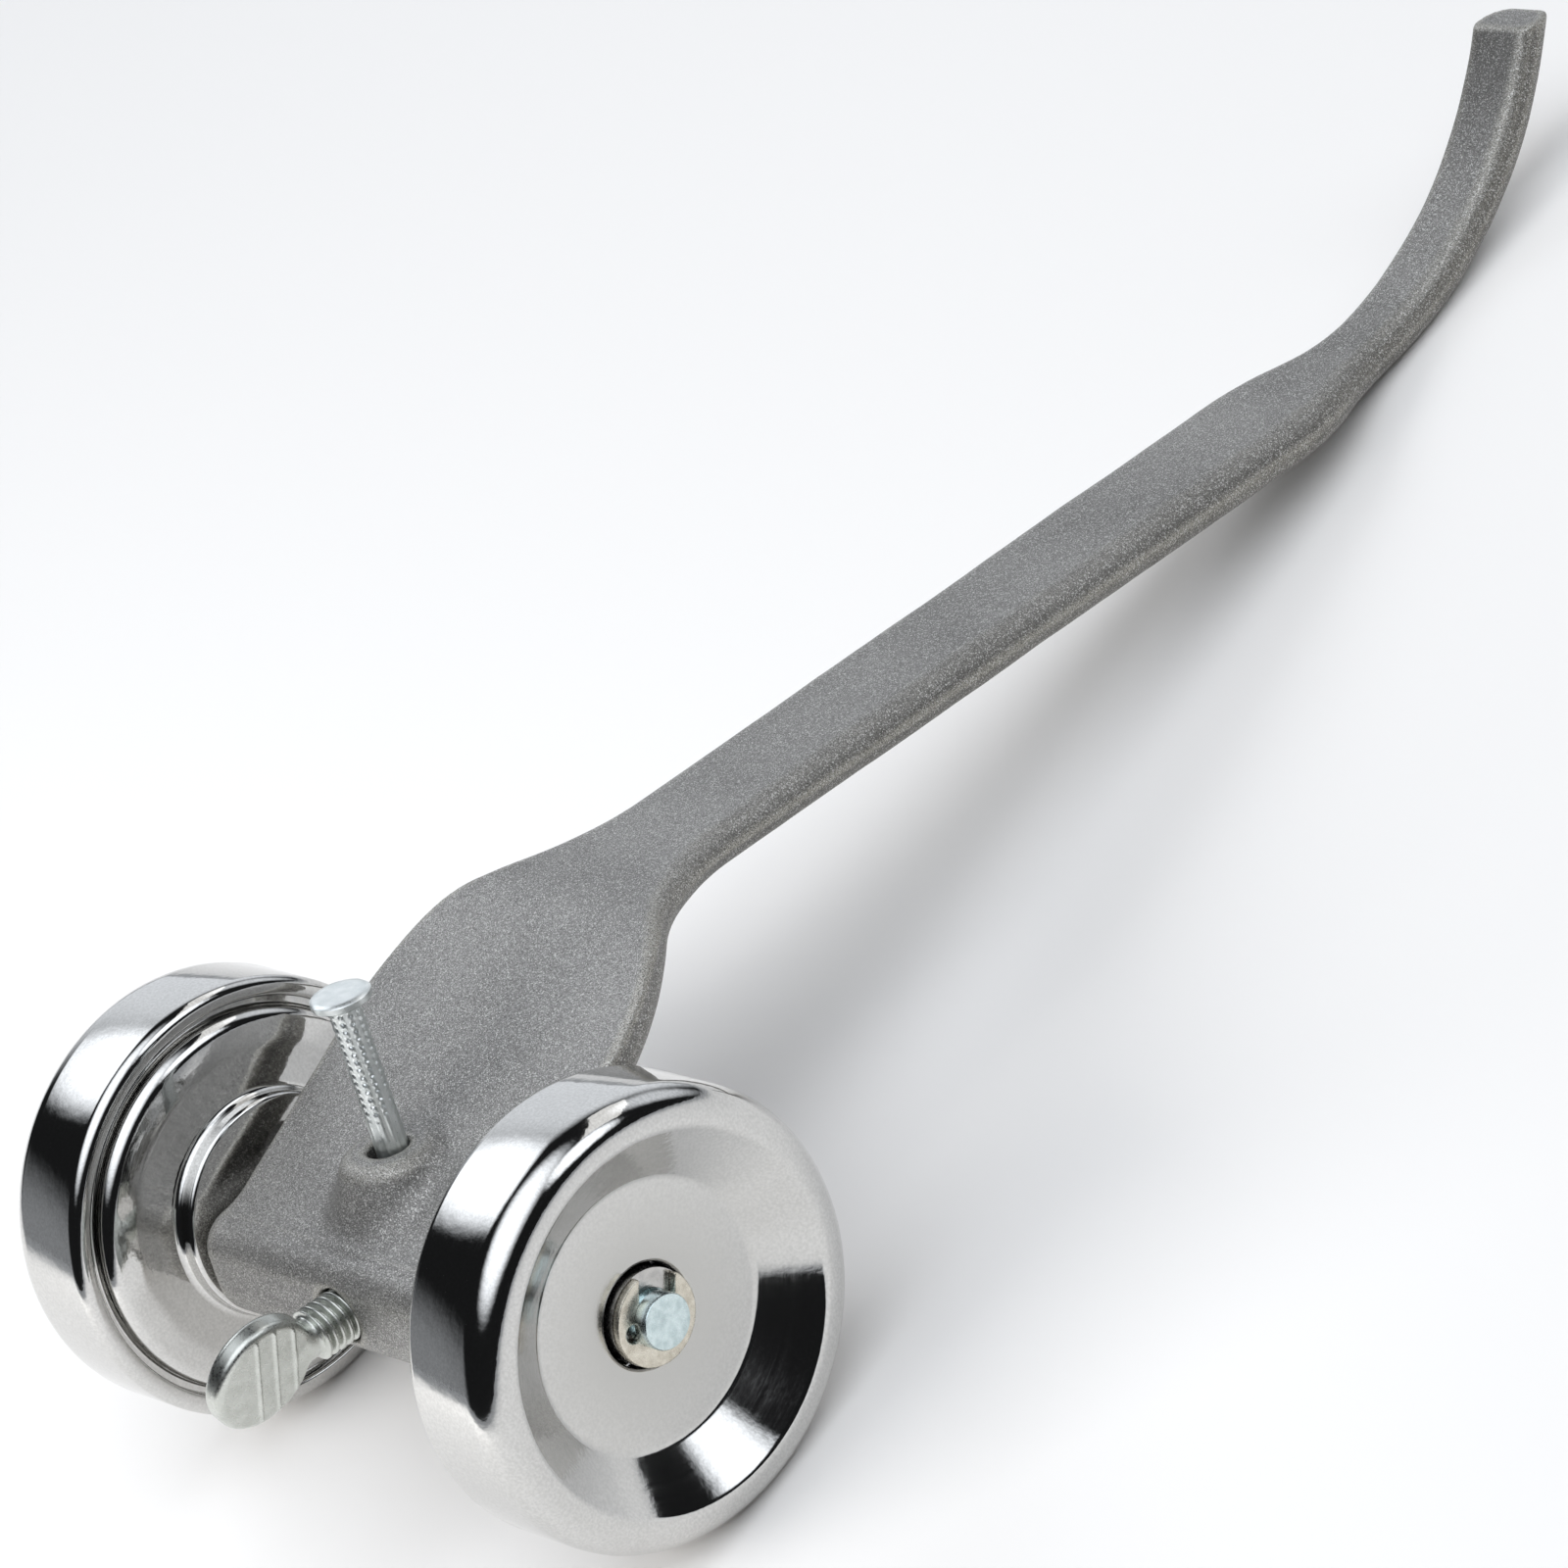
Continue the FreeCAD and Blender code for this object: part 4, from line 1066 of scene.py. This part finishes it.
# soft zones added to the room: direction, full within and gone beyond (degrees), level
GLOWS = (
    ((0.30, -0.16, 0.94), 17, 44, 1.936),
    ((0.69, 0.49, 0.53), 9, 19, 2.0),
    ((-0.73, 0.13, 0.67), 2, 21, 2.3),
    ((-0.72, 0.66, 0.15), 12, 40, 1.0),
    ((-0.80, -0.52, 0.0), 4, 26, 0.3),
    ((0.10, 0.98, 0.35), 5, 22, 0.9),
)
# pale floor that darkens between two distances from its middle: a painted falloff of light
FLOOR_MIDDLE = (-0.2, 0.13, 0.0)
FLOOR_FADE = (0.38, 0.95)
FLOOR_NEAR_TONE = (0.96, 0.94, 0.915)
FLOOR_FAR_TONE = (0.5, 0.5, 0.5)
FLOOR_ROUGHNESS = 0.9
FLOOR_SPECULAR = 0.1
# name, place, target, size, power in watts, seen in polished metal
LIGHTS = (
    ("back", (0.2, 1.2, 1.0), (0, 0.08, 0.02), (1.2, 0.5), 2.0, True),
    ("front", (-0.12, -0.35, 0.3), (0, 0.01, 0.03), (0.25, 0.25), 1.3, False),
)


def make_floor():
    """Pale square floor at the height the tool stands on, its colour darkening away from its middle
    as a painted falloff of light.
    """
    mesh = bpy.data.meshes.new("floor")
    corners = [(-FLOOR_HALF, -FLOOR_HALF, 0), (FLOOR_HALF, -FLOOR_HALF, 0),
               (FLOOR_HALF, FLOOR_HALF, 0), (-FLOOR_HALF, FLOOR_HALF, 0)]
    mesh.from_pydata(corners, [], [(0, 1, 2, 3)])
    floor = bpy.data.objects.new("floor", mesh)
    bpy.context.scene.collection.objects.link(floor)
    look = Look("pale_floor", 0.0)
    away = look.vector_maths("DISTANCE", look.place, FLOOR_MIDDLE, "Value")
    # painted falloff of light: the floor's colour darkens away from its middle
    fade = look.ramp(away, *FLOOR_FADE, smooth=True)
    look.set("Base Color", look.mix(fade, FLOOR_NEAR_TONE, FLOOR_FAR_TONE))
    look.set("Roughness", FLOOR_ROUGHNESS)
    look.set("Specular IOR Level", FLOOR_SPECULAR)
    mesh.materials.append(look.material)


def make_camera():
    """Camera held square to its right and down directions in the tool frame."""
    right = Vector(CAMERA_RIGHT).normalized()
    down = Vector(CAMERA_DOWN)
    down = (down - right * down.dot(right)).normalized()
    forward = right.cross(down)
    turn = Matrix((right, -down, -forward)).transposed()
    data = bpy.data.cameras.new("camera")
    data.lens = CAMERA_LENS
    data.sensor_width = CAMERA_SENSOR
    data.clip_start = CAMERA_CLIP_START
    camera = bpy.data.objects.new("camera", data)
    place = (TOOL.to_3x3() @ turn).to_4x4()
    place.translation = TOOL @ (Vector(CAMERA_PLACE) * MM)
    camera.matrix_world = place
    bpy.context.scene.collection.objects.link(camera)
    bpy.context.scene.camera = camera


def area_light(name, place, target, size, power, mirrored):
    """Rectangular soft light at place, facing target."""
    data = bpy.data.lights.new(name, "AREA")
    data.shape = "RECTANGLE"
    data.size, data.size_y = size
    data.energy = power
    light = bpy.data.objects.new(name, data)
    place = Vector(place)
    aim = (Vector(target) - place).to_track_quat("-Z", "Y")
    light.matrix_world = Matrix.Translation(place) @ aim.to_matrix().to_4x4()
    light.visible_glossy = mirrored
    bpy.context.scene.collection.objects.link(light)


def make_world():
    """Dark room with soft bright zones overhead, at the sides and near the horizon."""
    world = bpy.data.worlds.new("studio")
    world.use_nodes = True
    nodes = Nodes(world.node_tree)
    direction = nodes.coordinates("Generated")
    total = ROOM_LEVEL
    for aim, inner, outer, level in GLOWS:
        match = nodes.vector_maths("DOT_PRODUCT", direction, Vector(aim).normalized(), "Value")
        gone, full = math.cos(math.radians(outer)), math.cos(math.radians(inner))
        glow = nodes.ramp(match, gone, full, 0.0, level, smooth=True)
        total = nodes.maths("ADD", glow, total)
    background = world.node_tree.nodes["Background"]
    nodes.feed(background.inputs["Color"], ROOM_TINT)
    nodes.feed(background.inputs["Strength"], total)
    bpy.context.scene.world = world


make_floor()
make_camera()
make_world()
for light_row in LIGHTS:
    area_light(*light_row)
bpy.context.scene.view_settings.view_transform = "Standard"
